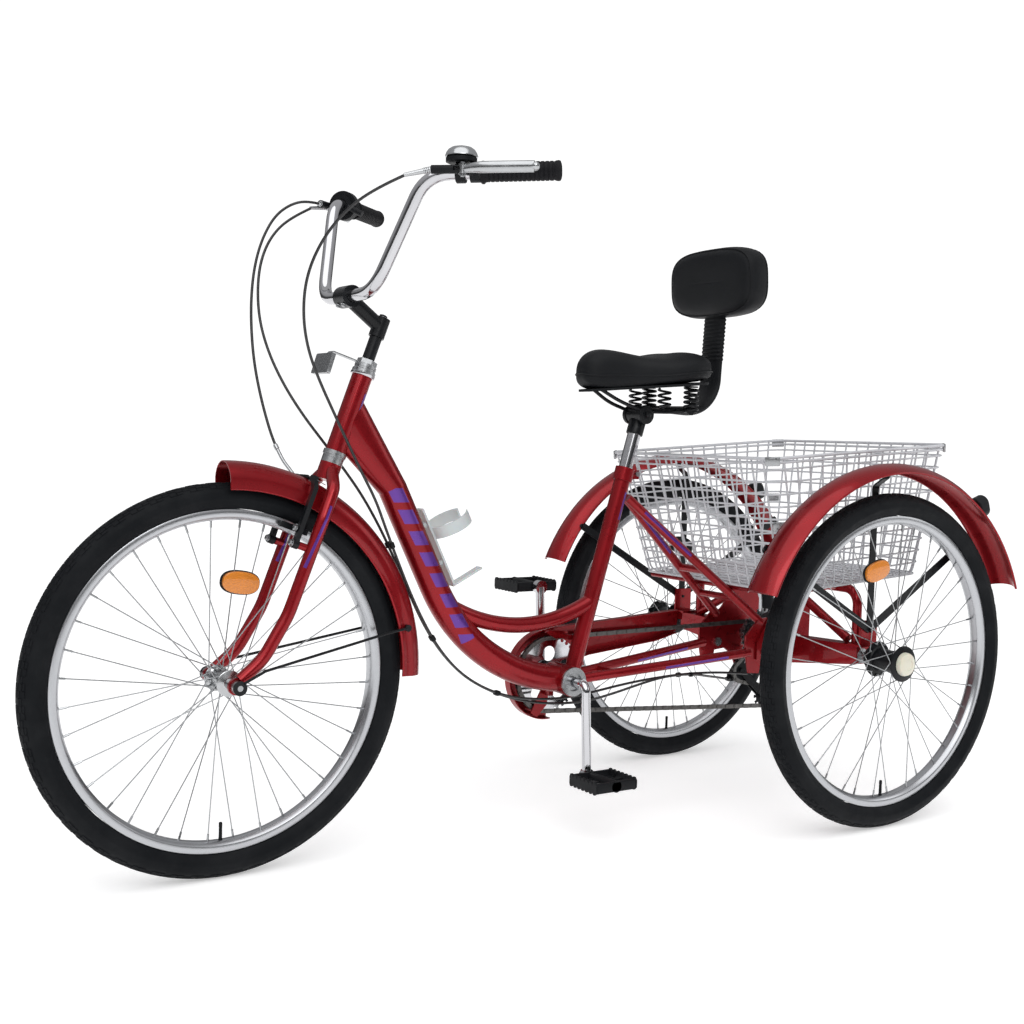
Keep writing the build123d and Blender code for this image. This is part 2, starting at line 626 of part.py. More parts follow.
def fender(x, y, section, angles):
    """A fender between two angles, counted from forward over the top."""
    face = radial_plane(x, y) * section
    hub_line = Axis((x, y, WHEEL_RADIUS), (0, 1, 0))
    shell = revolve(face, hub_line, angles[1] - angles[0])
    return shell.rotate(hub_line, -(angles[1] - 90.0))


def on_wheel(x, radius, angle_deg):
    """A side-view point at a radius and angle about a wheel."""
    angle = math.radians(angle_deg)
    return x + radius * math.cos(angle), WHEEL_RADIUS + radius * math.sin(angle)


def rear_fender():
    section = arch(REAR_FENDER_HALF_WIDTH, REAR_FENDER_CROWN, REAR_FENDER_EDGE)
    return fender(0, REAR_WHEEL_Y, section, REAR_FENDER_ANGLES)


def flat_bar(start, end, y_from):
    """A flat bar between two side-view points."""
    run = Vector(end[0] - start[0], 0, end[1] - start[1])
    across = Vector(-run.Z, 0, run.X).normalized() * (FENDER_STAY_WIDTH / 2)
    low = Vector(start[0], 0, start[1])
    high = Vector(end[0], 0, end[1])
    corners = [low + across, low - across, high - across, high + across]
    return plate([(corner.X, corner.Z) for corner in corners], y_from, y_from + FENDER_STAY_THICKNESS)


def rear_fender_stays():
    """Three flat stays on the left, fanned out from the lug, and their right twins."""
    root = (4.0, 386.0)
    inner = LUG_OUTER_Y + 0.1
    thickness = FENDER_STAY_THICKNESS
    edge = REAR_FENDER_EDGE + 3
    front = flat_bar(root, on_wheel(0, edge, 37), inner)
    rear = flat_bar(root, on_wheel(0, edge, 141), inner)
    upright = flat_bar(root, (4.0, 636.0), inner)
    head_path = FilletPolyline((4.0, inner + thickness / 2, 630.0), (4.0, inner + thickness / 2, 672.0),
                               (4.0, REAR_WHEEL_Y - 14, 690.0), (4.0, REAR_WHEEL_Y - 14, 710.0), radius=12)
    head_plane = Plane(origin=head_path @ 0, x_dir=(1, 0, 0), z_dir=head_path % 0)
    head = sweep(head_plane * Rectangle(FENDER_STAY_WIDTH, thickness), path=head_path)
    fan = front + rear + upright + head
    bolt = disc(root[0], root[1], inner - 6, inner + thickness + 4, 3.0)
    tips = [disc(*on_wheel(0, edge, angle), inner + thickness, REAR_WHEEL_Y - REAR_FENDER_HALF_WIDTH - 0.1, 5.0)
            for angle in (37, 141)]
    for tip in tips:
        fan += tip
    fan += bolt
    fan -= rear_fender()
    return both(group(fan.solids().sort_by(SortBy.VOLUME)[-1]))


def rear_reflectors():
    """Capsule reflector housings standing on the rear slope of each fender."""
    x, z = on_wheel(0, REAR_FENDER_CROWN + 11, REAR_REFLECTOR_ANGLE)
    plane = Plane(origin=(x, REAR_WHEEL_Y, z), x_dir=(0, 1, 0),
                  z_dir=(math.cos(math.radians(REAR_REFLECTOR_ANGLE + 30)), 0,
                         math.sin(math.radians(REAR_REFLECTOR_ANGLE + 30))))
    housing = extrude(plane * SlotOverall(46, 34, rotation=90), amount=14, both=True)
    housing = fillet(housing.edges().filter_by(GeomType.CIRCLE), 4)
    housing -= rear_fender()
    return both(group(housing.solids().sort_by(SortBy.VOLUME)[-1]))


def basket_plane(height):
    tilt = math.radians(BASKET_TILT_DEG)
    floor = Vector(BASKET_FLOOR_CENTRE)
    up = Vector(math.sin(tilt), 0, math.cos(tilt))
    return Plane(origin=floor + up * height, x_dir=(math.cos(tilt), 0, -math.sin(tilt)), z_dir=up)


def tapered_tub(floor_length, floor_width, rim_length, rim_width, low, high):
    bottom = basket_plane(low) * RectangleRounded(floor_length, floor_width, BASKET_CORNER_RADIUS)
    top = basket_plane(high) * RectangleRounded(rim_length, rim_width, BASKET_CORNER_RADIUS)
    return loft([bottom, top])


def basket():
    """Open, flared tub with the outer shape of the wire basket."""
    wall = 2 * BASKET_WALL
    tub = tapered_tub(BASKET_FLOOR_LENGTH, BASKET_FLOOR_WIDTH, BASKET_RIM_LENGTH, BASKET_RIM_WIDTH,
                      0, BASKET_DEPTH)
    hollow = tapered_tub(BASKET_FLOOR_LENGTH - wall, BASKET_FLOOR_WIDTH - wall, BASKET_RIM_LENGTH - wall,
                         BASKET_RIM_WIDTH - wall, BASKET_WALL, BASKET_DEPTH + BASKET_WALL)
    return tub - hollow


# ---------------------------------------------------------------- steering assembly

def fork_path():
    return FilletPolyline(steered(0, 12, -34), steered(3, 50, -66), steered(6, FORK_BLADE_Y, -120),
                          steered(8, FORK_BLADE_Y, -290), steered(24, FORK_BLADE_Y, -372),
                          steered(FORK_RAKE - 3, FORK_BLADE_Y, -416), radius=[26, 60, 160, 110])


def fork():
    """Steerer, crown and two raked blades with dropouts and brake bosses."""
    blade = swept(fork_path(), FORK_BLADE_RADIUS)
    end = disc(WHEELBASE, WHEEL_RADIUS, FORK_BLADE_Y - 3, FORK_BLADE_Y + 3, 14.0)
    tang = rod(fork_path() @ 1, (WHEELBASE - 4, FORK_BLADE_Y, WHEEL_RADIUS + 6), 3.0)
    boss_root = steered(6, BRAKE_PIVOT_Y + 4, BRAKE_PIVOT_Z)
    boss = rod(boss_root, steered(BRAKE_PLANE - 6.3, BRAKE_PIVOT_Y, BRAKE_PIVOT_Z), 6.5)
    side = blade + end + tang + boss
    side += rod(steered(BRAKE_PLANE - 7, BRAKE_PIVOT_Y, BRAKE_PIVOT_Z),
                steered(BRAKE_PLANE + 7, BRAKE_PIVOT_Y, BRAKE_PIVOT_Z), 4.0)
    crown = rod(steered(0, 0, FORK_CROWN_FOOT), steered(0, 0, -22), 19.0)
    steerer = rod(steered(0, 0, -40), steered(0, 0, 166), STEERER_RADIUS)
    whole = crown + steerer + side + mirrored(side)
    whole -= rod(steered(0, 0, 60), steered(0, 0, 170), QUILL_RADIUS + RUNNING_CLEARANCE)
    return whole - disc(WHEELBASE, WHEEL_RADIUS, -90, 90, FRONT_AXLE_RADIUS + RUNNING_CLEARANCE)


def steering_hardware():
    """Crown race, upper cone, locknut, reflector bracket, front axle and its nuts."""
    bore = STEERER_RADIUS + RUNNING_CLEARANCE
    race = steering_ring(-22, -12.4, 19.0, bore)
    cone = steering_ring(155.4, 160, 19.5, bore)
    washer = steering_ring(160, 162, 18.0, bore)
    arm_start = steered(17, 0, 161)
    arm_corner = Vector(1056, 0, 886)
    arm_end = Vector(1068, 0, 848)
    path = FilletPolyline(arm_start, arm_corner, arm_end, radius=5)
    arm = sweep(Plane(origin=path @ 0, x_dir=(0, 1, 0), z_dir=path % 0) * Rectangle(14, 2), path=path)
    washer = washer + arm
    nut_plane = Plane(origin=steered(0, 0, 162), x_dir=(0, 1, 0), z_dir=STEER.z_dir)
    nut = extrude(nut_plane * RegularPolygon(18, 6), amount=8)
    nut -= rod(steered(0, 0, 150), steered(0, 0, 180), bore)
    axle = disc(WHEELBASE, WHEEL_RADIUS, -78, 78, FRONT_AXLE_RADIUS)
    nuts = []
    for side in (-1, 1):
        face = FORK_BLADE_Y + 3
        cap = disc(WHEELBASE, WHEEL_RADIUS, face, face + 14, 11.0, FRONT_AXLE_RADIUS)
        spacer = disc(WHEELBASE, WHEEL_RADIUS, FRONT_HUB_FLANGE_Y + 2.4, FORK_BLADE_Y - 3, 9.0, FRONT_AXLE_RADIUS)
        nuts += [cap, spacer] if side > 0 else [mirrored(cap), mirrored(spacer)]
    return group(race, cone, washer, nut, axle, front_reflector(), *nuts)


def front_reflector():
    """Rectangular lens block held by the bracket."""
    plane = Plane(origin=(1064.75, 0, 862.3), x_dir=(0, 1, 0), z_dir=(0.9535, 0, 0.3013))
    lens = extrude(plane * RectangleRounded(64, 36, 3), amount=7)
    return lens


def stem():
    """Quill and forward arm with the bar clamp."""
    quill = rod(steered(0, 0, QUILL_FOOT), steered(0, 0, QUILL_TOP), QUILL_RADIUS)
    head = rod(steered(0, 0, 214), steered(0, 0, QUILL_TOP), QUILL_RADIUS + 3)
    arm = rod(steered(0, 0, 234), BAR_CLAMP, 13.0)
    clamp = disc(BAR_CLAMP[0], BAR_CLAMP[2], -20, 20, 19.0)
    whole = quill + head + arm + clamp
    whole -= disc(BAR_CLAMP[0], BAR_CLAMP[2], -40, 40, BAR_RADIUS + RUNNING_CLEARANCE)
    bolt = rod(steered(0, 0, QUILL_TOP), steered(0, 0, QUILL_TOP + 5), 7.0)
    return group(whole, bolt)


def mirror_point(point):
    return point[0], -point[1], point[2]


def handlebar():
    low = (BAR_CLAMP[0], BAR_LOW_CORNER[1], BAR_CLAMP[2])
    left = [BAR_END, BAR_HIGH_CORNER, low]
    points = left + [mirror_point(point) for point in reversed(left)]
    path = FilletPolyline(*points, radius=BAR_BEND_RADIUS)
    return swept(path, BAR_RADIUS, BAR_RADIUS - BAR_WALL)


def grip_line():
    start = Vector(BAR_HIGH_CORNER)
    along = (Vector(BAR_END) - start).normalized()
    ahead = Vector(along.Y, -along.X, 0).normalized()
    return start, along, ahead


def grips():
    start, along, _ = grip_line()
    sleeve = rod(start + along * GRIP_START, start + along * (GRIP_START + GRIP_LENGTH + 5), GRIP_RADIUS)
    sleeve -= rod(start, start + along * (GRIP_START + GRIP_LENGTH + 1.0), BAR_RADIUS + RUNNING_CLEARANCE)
    return both(sleeve)


def on_grip(s, forward, up):
    start, along, ahead = grip_line()
    return start + along * s + ahead * forward + Vector(0, 0, up)


def lever_body():
    """Left lever perch: bar clamp, forward horn and cable stop."""
    start, along, _ = grip_line()
    pivot = on_grip(LEVER_PIVOT_ALONG, LEVER_PIVOT_AHEAD, 0)
    clamp = rod(on_grip(LEVER_PIVOT_ALONG + 8, 0, 0), on_grip(LEVER_PIVOT_ALONG + 24, 0, 0), 16.0)
    horn = rod(on_grip(LEVER_PIVOT_ALONG + 16, 10, 0), pivot - along * 4, 8.0)
    nose = rod(pivot - along * 2, on_grip(16, LEVER_PIVOT_AHEAD + 4, 0), 7.0)
    perch = clamp + horn + nose
    pocket_origin = on_grip(LEVER_PIVOT_ALONG + 14, LEVER_PIVOT_AHEAD + 2, 0)
    pocket = Plane(origin=pocket_origin, x_dir=along, z_dir=(0, 0, 1)) * Box(56, 17, 6.4)
    perch -= pocket
    perch -= rod(start, start + along * 200, BAR_RADIUS + 0.05)
    pin = rod(pivot - Vector(0, 0, 8), pivot + Vector(0, 0, 8), 2.5)
    return group(perch + pin)


def brake_lever():
    """Left lever blade, pivoted in the perch and running ahead of the grip."""
    pivot = on_grip(LEVER_PIVOT_ALONG, LEVER_PIVOT_AHEAD, 0)
    boss = rod(pivot - Vector(0, 0, 2.8), pivot + Vector(0, 0, 2.8), 6.0)
    path = FilletPolyline(pivot, on_grip(LEVER_PIVOT_ALONG + 34, LEVER_PIVOT_AHEAD + 16, 0),
                          on_grip(LEVER_PIVOT_ALONG + LEVER_REACH, LEVER_PIVOT_AHEAD + 18, 0), radius=30)
    blade_plane = Plane(origin=path @ 0, x_dir=(0, 0, 1), z_dir=path % 0)
    blade = sweep(blade_plane * Rectangle(5.6, 7), path=path)
    tip = on_grip(LEVER_PIVOT_ALONG + LEVER_REACH, LEVER_PIVOT_AHEAD + 18, 0)
    lever = boss + blade + Pos(tip) * Sphere(6.0)
    return lever - rod(pivot - Vector(0, 0, 9), pivot + Vector(0, 0, 9), 2.5 + RUNNING_CLEARANCE)


def shifter_body():
    """Round shifter housing on the right bar, inside of the perch."""
    body = rod(on_grip(SHIFTER_ALONG, 0, 0), on_grip(SHIFTER_ALONG + SHIFTER_WIDTH, 0, 0), SHIFTER_RADIUS)
    body -= rod(on_grip(0, 0, 0), on_grip(120, 0, 0), BAR_RADIUS + RUNNING_CLEARANCE)
    body -= lever_body()
    body = body.solids().sort_by(SortBy.VOLUME)[-1]
    return mirrored(group(body))


def shifter_lever():
    """Thumb lever on the inner face of the right shifter."""
    face = SHIFTER_ALONG - BODY_GAP
    ring = rod(on_grip(face, 0, 0), on_grip(face - 7, 0, 0), 19.0)
    paddle = rod(on_grip(face - 5.6, -14, -4), on_grip(face - 5.6, -42, -18), 5.5)
    lever = ring + paddle
    return mirrored(lever - rod(on_grip(0, 0, 0), on_grip(120, 0, 0), BAR_RADIUS + RUNNING_CLEARANCE))


def bell():
    """Bell base clamped on the left bar with its dome."""
    centre = on_grip(BELL_ALONG, 0, 0)
    clamp = rod(on_grip(BELL_ALONG - 7, 0, 0), on_grip(BELL_ALONG + 7, 0, 0), 14.5)
    neck = rod(centre, centre + Vector(0, 0, BELL_BASE_LOW), 8.0)
    base = rod(centre + Vector(0, 0, BELL_BASE_LOW), centre + Vector(0, 0, BELL_BASE_HIGH), BELL_RADIUS - 2)
    holder = clamp + neck + base - rod(on_grip(0, 0, 0), on_grip(120, 0, 0), BAR_RADIUS + RUNNING_CLEARANCE)
    dome_plane = Plane(origin=centre + Vector(0, 0, BELL_BASE_HIGH + 0.2))
    dome = extrude(dome_plane * Circle(BELL_RADIUS), amount=BELL_DOME_HEIGHT)
    dome = fillet(dome.edges().sort_by(Axis.Z)[-1], 15)
    return group(holder, dome)


def bell_lever():
    """Thumb lever of the bell, on the rider's side of its base."""
    height = (BELL_BASE_LOW + BELL_BASE_HIGH) / 2
    reach = BELL_RADIUS - 2 + BODY_GAP + 3.0
    root = on_grip(BELL_ALONG, -reach, height)
    tip = on_grip(BELL_ALONG - 3, -reach - 12, height)
    half_post = Vector(0, 0, 3.6)
    half_knob = Vector(0, 0, 5.0)
    post = rod(root - half_post, root + half_post, 3.0)
    return post + rod(root, tip, 2.6) + rod(tip - half_knob, tip + half_knob, 6.0)


def brake_arm():
    """Left linear-pull arm with its pad."""
    pivot_low = steered(BRAKE_PLANE - 5, BRAKE_PIVOT_Y, BRAKE_PIVOT_Z)
    pivot_high = steered(BRAKE_PLANE + 5, BRAKE_PIVOT_Y, BRAKE_PIVOT_Z)
    barrel = rod(pivot_low, pivot_high, 8.0)
    top_z = BRAKE_PIVOT_Z + BRAKE_ARM_LENGTH
    plane = Plane(origin=steered(BRAKE_PLANE - 4, 0, 0), x_dir=(0, 1, 0), z_dir=STEER.x_dir)
    outline = [(BRAKE_PIVOT_Y - 6, BRAKE_PIVOT_Z), (BRAKE_PIVOT_Y + 6, BRAKE_PIVOT_Z),
               (BRAKE_PIVOT_Y + 6, top_z - 20), (BRAKE_ARM_TOP_Y + 14, top_z), (BRAKE_ARM_TOP_Y, top_z),
               (BRAKE_ARM_TOP_Y, top_z - 10), (BRAKE_ARM_TOP_Y + 9, top_z - 11), (BRAKE_PIVOT_Y - 4, top_z - 24)]
    arm = extrude(plane * make_face(Polyline(*outline, close=True)), amount=8)
    pad_inner = RIM_HALF_WIDTH + BRAKE_PAD_GAP
    pad_middle = steered(BRAKE_PLANE, pad_inner + 5, BRAKE_PAD_Z)
    pad = Plane(origin=pad_middle, x_dir=STEER.x_dir, z_dir=(0, 1, 0)) * Box(52, 10, 10)
    stud_root = steered(BRAKE_PLANE, pad_inner + 8, BRAKE_PAD_Z)
    stud = rod(stud_root, steered(BRAKE_PLANE, BRAKE_PIVOT_Y, BRAKE_PAD_Z), 4.0)
    whole = barrel + arm + pad + stud
    whole -= rod(steered(BRAKE_PLANE - 20, BRAKE_PIVOT_Y, BRAKE_PIVOT_Z),
                 steered(BRAKE_PLANE + 20, BRAKE_PIVOT_Y, BRAKE_PIVOT_Z), 4.0 + RUNNING_CLEARANCE)
    return whole


def front_fender():
    section = arch(FRONT_FENDER_HALF_WIDTH, FRONT_FENDER_CROWN, FRONT_FENDER_EDGE)
    shell = fender(WHEELBASE, 0, section, FRONT_FENDER_ANGLES)
    crown_bolt = rod(steered(0, 0, FORK_CROWN_FOOT - 0.2), steered(0, 0, FORK_CROWN_FOOT - 12), 5.0)
    return shell + crown_bolt


def front_fender_stays():
    """One bent wire stay each side from the axle to the fender's rear."""
    tip_x, tip_z = on_wheel(WHEELBASE, FRONT_FENDER_EDGE + 14, 167)
    side = FRONT_FENDER_HALF_WIDTH + 4.4
    path = FilletPolyline((WHEELBASE - 6, 78.5, WHEEL_RADIUS + 8), (WHEELBASE - 46, 70, WHEEL_RADIUS + 24),
                          (tip_x + 40, side + 2, tip_z - 6), (tip_x, side, tip_z), radius=20)
    wire = swept(path, FENDER_STAY_WIRE_RADIUS)
    eye = disc(WHEELBASE, WHEEL_RADIUS, FORK_BLADE_Y + 17.2, FORK_BLADE_Y + 20, 12.0, FRONT_AXLE_RADIUS + 0.05)
    pad = disc(tip_x, tip_z, side - 3.6, side + 2, 6.0)
    whole = wire + eye + pad
    whole -= front_fender()
    return both(group(whole.solids().sort_by(SortBy.VOLUME)[-1]))


# ---------------------------------------------------------------- drivetrain

def belt_loop(circles, spread):
    """Closed side-view outline round sprockets; each circle is x, z, radius and +1 or -1 for its wrap."""
    arcs = []
    touching = []
    count = len(circles)
    for index in range(count):
        x1, z1, r1, side1 = circles[index]
        x2, z2, r2, side2 = circles[(index + 1) % count]
        r1 = (r1 + side1 * spread) * side1
        r2 = (r2 + side2 * spread) * side2
        distance = math.hypot(x2 - x1, z2 - z1)
        heading = math.atan2(z2 - z1, x2 - x1)
        lean = math.acos((r1 - r2) / distance)
        normal = heading - lean
        leave = (x1 + r1 * math.cos(normal), z1 + r1 * math.sin(normal))
        arrive = (x2 + r2 * math.cos(normal), z2 + r2 * math.sin(normal))
        touching.append((leave, arrive, normal))
    for index in range(count):
        x, z, radius, side = circles[index]
        arrive, start = touching[index - 1][1], touching[index - 1][2]
        leave, stop = touching[index][0], touching[index][2]
        turn = (stop - start) % (2 * math.pi)
        if side < 0:
            turn -= 2 * math.pi
        middle = start + turn / 2
        reach = (radius + side * spread) * side
        halfway = (x + reach * math.cos(middle), z + reach * math.sin(middle))
        arcs.append((arrive, halfway, leave))
    return arcs, touching


def sprocket_circles():
    ring = pitch_radius(RING_TEETH)
    cog = pitch_radius(SMALL_COG_TEETH)
    pulley = pitch_radius(PULLEY_TEETH)
    return [(BOTTOM_BRACKET[0], BOTTOM_BRACKET[2], ring, 1), (0.0, WHEEL_RADIUS, cog, 1),
            (*GUIDE_PULLEY, pulley, -1), (*TENSION_PULLEY, pulley, 1)]


def belt_face(spread, y):
    arcs, touching = belt_loop(sprocket_circles(), spread)
    edges = []
    for index, (arrive, halfway, leave) in enumerate(arcs):
        edges.append(ThreePointArc(*[(x, y, z) for x, z in (arrive, halfway, leave)]))
        following = arcs[(index + 1) % len(arcs)][0]
        edges.append(Line((leave[0], y, leave[1]), (following[0], y, following[1])))
    return make_face(edges)


def chain():
    """Two runs of side plates joined by rollers on the straight runs."""
    half_height = CHAIN_PLATE_HEIGHT / 2
    half_gap = CHAIN_PLATE_GAP / 2
    strips = []
    for y_from in (CHAIN_Y - half_gap - CHAIN_PLATE_THICKNESS, CHAIN_Y + half_gap):
        outer = extrude(belt_face(half_height, y_from), amount=CHAIN_PLATE_THICKNESS, dir=(0, 1, 0))
        inner = extrude(belt_face(-half_height, y_from), amount=CHAIN_PLATE_THICKNESS, dir=(0, 1, 0))
        strips.append(outer - inner)
    whole = strips[0] + strips[1]
    touching = belt_loop(sprocket_circles(), 0)[1]
    for leave, arrive in (touching[0][:2], touching[3][:2]):
        run = Vector(arrive[0] - leave[0], 0, arrive[1] - leave[1])
        start = Vector(leave[0], 0, leave[1])
        clear_of_teeth = 45.0
        count = int((run.length - 2 * clear_of_teeth) / CHAIN_PITCH)
        for step in range(count):
            place = start + run.normalized() * (clear_of_teeth + step * CHAIN_PITCH)
            whole += disc(place.X, place.Z, CHAIN_Y - half_gap - 0.2, CHAIN_Y + half_gap + 0.2, CHAIN_ROLLER_RADIUS)
    return whole


def sprocket(x, z, y, teeth, thickness, bore):
    """A toothed wheel for the chain."""
    radius = pitch_radius(teeth)
    wheel = disc(x, z, y - thickness / 2, y + thickness / 2, radius + TOOTH_HEIGHT)
    step = 360.0 / teeth
    for index in range(teeth):
        angle = math.radians(step * (index + 0.5))
        gap_x = x + (radius + 0.6) * math.cos(angle)
        gap_z = z + (radius + 0.6) * math.sin(angle)
        wheel -= disc(gap_x, gap_z, y - thickness, y + thickness, CHAIN_ROLLER_RADIUS + 0.3)
    return wheel - disc(x, z, y - thickness, y + thickness, bore)


def cassette():
    """Freewheel cogs on their carrier, smallest outside."""
    bore = REAR_AXLE_RADIUS + RUNNING_CLEARANCE
    carrier = disc(0, WHEEL_RADIUS, CHAIN_Y - 4, CHAIN_Y + 6 * COG_SPACING + 4, 20.0, bore)
    for index, teeth in enumerate(COG_TEETH):
        carrier += sprocket(0, WHEEL_RADIUS, CHAIN_Y + index * COG_SPACING, teeth, COG_THICKNESS, 19.0)
    return carrier


def chainring():
    x, _, z = BOTTOM_BRACKET
    ring = sprocket(x, z, CHAIN_Y, RING_TEETH, 2.0, CRANK_SPINDLE_RADIUS + 0.05)
    for index in range(5):
        angle = math.radians(90 + 72 * index)
        window = disc(x + 42 * math.cos(angle), z + 42 * math.sin(angle), CHAIN_Y - 5, CHAIN_Y + 5, 15.0)
        ring -= window
    return ring


def crank():
    """One-piece crank with pressed-in pedal axles and the chainring on its right shoulder."""
    x, _, z = BOTTOM_BRACKET
    spindle = disc(x, z, -CRANK_ROOT_Y, CRANK_ROOT_Y, CRANK_SPINDLE_RADIUS)
    arm_path = FilletPolyline((x, 40, z), (x, CRANK_ROOT_Y + 8, z), (x, CRANK_EYE_Y, z - CRANK_LENGTH), radius=14)
    left = swept(arm_path, CRANK_ARM_RADIUS)
    left += disc(x, z - CRANK_LENGTH, CRANK_EYE_Y - 7, CRANK_EYE_Y + 7, 13.5)
    right = left.rotate(Axis((x, 0, z), (1, 0, 0)), 180)
    whole = spindle + left + right
    axle_left = disc(x, z - CRANK_LENGTH, CRANK_EYE_Y + 7, PEDAL_INNER_Y + PEDAL_WIDTH - 6, PEDAL_AXLE_RADIUS)
    axle_right = axle_left.rotate(Axis((x, 0, z), (1, 0, 0)), 180)
    shoulder = disc(x, z, CHAIN_Y - 9, CHAIN_Y - 1, 18.0, CRANK_SPINDLE_RADIUS + 0.05)
    return group(whole, axle_left, axle_right, shoulder, chainring())


def pedal():
    """Left platform pedal: barrel, end plates, side rails with grip teeth."""
    x = BOTTOM_BRACKET[0]
    z = BOTTOM_BRACKET[2] - CRANK_LENGTH
    inner = PEDAL_INNER_Y
    outer = PEDAL_INNER_Y + PEDAL_WIDTH
    half = PEDAL_LENGTH / 2
    barrel = disc(x, z, inner, outer, 10.0)
    frame = block(x - half, x + half, inner, outer, z - PEDAL_HEIGHT / 2, z + PEDAL_HEIGHT / 2)
    for side in (-1, 1):
        centre = x + side * (half / 2 + 3)
        frame -= block(centre - 15, centre + 15, inner + 10, outer - 10, z - 20, z + 20)
    frame = chamfer(frame.edges().filter_by(Axis.Z).group_by(Axis.Y)[-1], 10)
    body = frame + barrel
    return body - disc(x, z, inner - 5, outer - 5, PEDAL_AXLE_RADIUS + RUNNING_CLEARANCE)


def chain_guard():
    """Red sheet guard: a rimmed C round the chainring and a long arm over the upper run."""
    x, _, z = BOTTOM_BRACKET
    arm = [(545, 372), (400, 380), (212, 392), (200, 384), (204, 346), (269, 330), (444, 312), (500, 300)]
    silhouette = plate(arm, GUARD_OUTER_Y, GUARD_OUTER_Y + GUARD_DEPTH)
    silhouette += disc(x, z, GUARD_OUTER_Y, GUARD_OUTER_Y + GUARD_DEPTH, GUARD_RADIUS)
    outline = silhouette.faces().sort_by(Axis.Y)[0]
    pocket_face = offset(outline, -GUARD_SHEET, kind=Kind.INTERSECTION)
    pocket = extrude(pocket_face.moved(Location((0, GUARD_SHEET, 0))), amount=GUARD_DEPTH + 5, dir=(0, 1, 0))
    shell = silhouette - pocket
    shell -= disc(x, z, GUARD_OUTER_Y - 1, GUARD_OUTER_Y + GUARD_DEPTH + 1, 68.0)
    shell -= block(x - 130, x - 10, GUARD_OUTER_Y - 1, GUARD_OUTER_Y + 30, z - 120, z + 12)
    shell -= block(190, 215, GUARD_OUTER_Y + 2, GUARD_OUTER_Y + 30, 336, 372)
    return shell.solids().sort_by(SortBy.VOLUME)[-1]


def guard_brackets():
    """Two black brackets from the frame to the guard's rim."""
    x, _, z = BOTTOM_BRACKET
    top = plate([(508, 352), (534, 352), (560, 366), (552, 369), (527, 368), (506, 365)], -44, -41)
    top += plate([(540, 362), (556, 366), (554, 368), (540, 369)], GUARD_OUTER_Y + 6, -41)
    bottom = plate([(548, 252), (566, 254), (590, 208), (574, 200), (552, 222)], -44, -41)
    bottom += plate([(574, 199), (586, 204), (582, 209), (571, 205)], GUARD_OUTER_Y + 6, -41)
    foot_top = block(512, 524, -41, -14, 353, 362) - solid_seat_tube()
    foot_bottom = block(552, 562, -41, -20, 244, 256) - solid_bottom_bracket()
    foot_bottom -= disc(x, z, -45, 0, BOTTOM_BRACKET_RADIUS)
    return top + foot_top, bottom + foot_bottom


def rear_brake_cover():
    """Fixed backing plate and shell round the band brake, held to the left dropout."""
    inner_y, outer_y = BRAKE_COVER_Y
    shell = disc(0, WHEEL_RADIUS, inner_y, outer_y, BRAKE_COVER_RADIUS)
    shell -= disc(0, WHEEL_RADIUS, inner_y + 3, outer_y + 1, BRAKE_COVER_RADIUS - 3)
    shell -= disc(0, WHEEL_RADIUS, inner_y - 1, inner_y + 4, REAR_AXLE_RADIUS + 3)
    strap = block(44, 74, outer_y - 8, DROPOUT_INNER_Y, 342, 350)
    strap -= disc(0, WHEEL_RADIUS, inner_y - 1, outer_y + 1, BRAKE_COVER_RADIUS - 1)
    pivot_x, pivot_z = BRAKE_ARM_PIVOT
    pin = disc(pivot_x, pivot_z, inner_y - 10, inner_y + 1, 4.0)
    return shell + strap + pin


def rear_brake_arm():
    """Actuating arm of the band brake, on its pin."""
    pivot_x, pivot_z = BRAKE_ARM_PIVOT
    y_to = BRAKE_COVER_Y[0] - BODY_GAP
    tip = (pivot_x + 26.0, pivot_z - 34.0)
    boss = disc(pivot_x, pivot_z, y_to - 6, y_to, 8.0)
    bar = flat_bar((pivot_x, pivot_z), tip, y_to - 4)
    arm = boss + bar
    return arm - disc(pivot_x, pivot_z, y_to - 12, y_to + 2, 4.0 + RUNNING_CLEARANCE)


def rear_axle():
    """Full-width axle with the brake drum keyed to it."""
    length = REAR_HUB_OUTER_FLANGE_Y + 4
    shaft = disc(0, WHEEL_RADIUS, -length, length, REAR_AXLE_RADIUS)
    drum = disc(0, WHEEL_RADIUS, BRAKE_COVER_Y[0] + 6, BRAKE_COVER_Y[1] - 4, BRAKE_DRUM_RADIUS, REAR_AXLE_RADIUS)
    return group(shaft, drum)


def derailleur_body():
    """Hanger bolt, body and knuckle above the cage."""
    outer = DROPOUT_INNER_Y + DROPOUT_THICKNESS
    bolt = disc(18, 270, -outer - 4, -outer, 8.0)
    pivot = disc(18, 270, -DROPOUT_INNER_Y, -58.5, 9.0)
    body = plate([(8, 262), (28, 276), (56, 240), (54, 226), (30, 226), (8, 250)], -64.9, -60)
    knuckle = disc(*GUIDE_PULLEY, -64.9, -58.5, 9.0)
    barrel = rod((50, -62, 232), (64, -56, 233.5), 4.5)
    return pivot + body + knuckle + barrel, bolt


def derailleur_cage():
    """Two cage plates joined by the pulley bolts."""
    gx, gz = GUIDE_PULLEY
    tx, tz = TENSION_PULLEY
    run = Vector(tx - gx, 0, tz - gz)
    across = Vector(-run.Z, 0, run.X).normalized() * 8
    outline = [(gx + across.X, gz + across.Z), (gx - across.X, gz - across.Z), (tx - across.X, tz - across.Z),
               (tx + across.X, tz + across.Z)]
    plates = plate(outline, -58.1, -56.4) + plate(outline, -43.6, -42.1)
    for x, z in (GUIDE_PULLEY, TENSION_PULLEY):
        plates += disc(x, z, -58.1, -56.4, 9.0) + disc(x, z, -43.6, -42.1, 9.0)
        plates += disc(x, z, -57, -43, 3.0)
    return plates


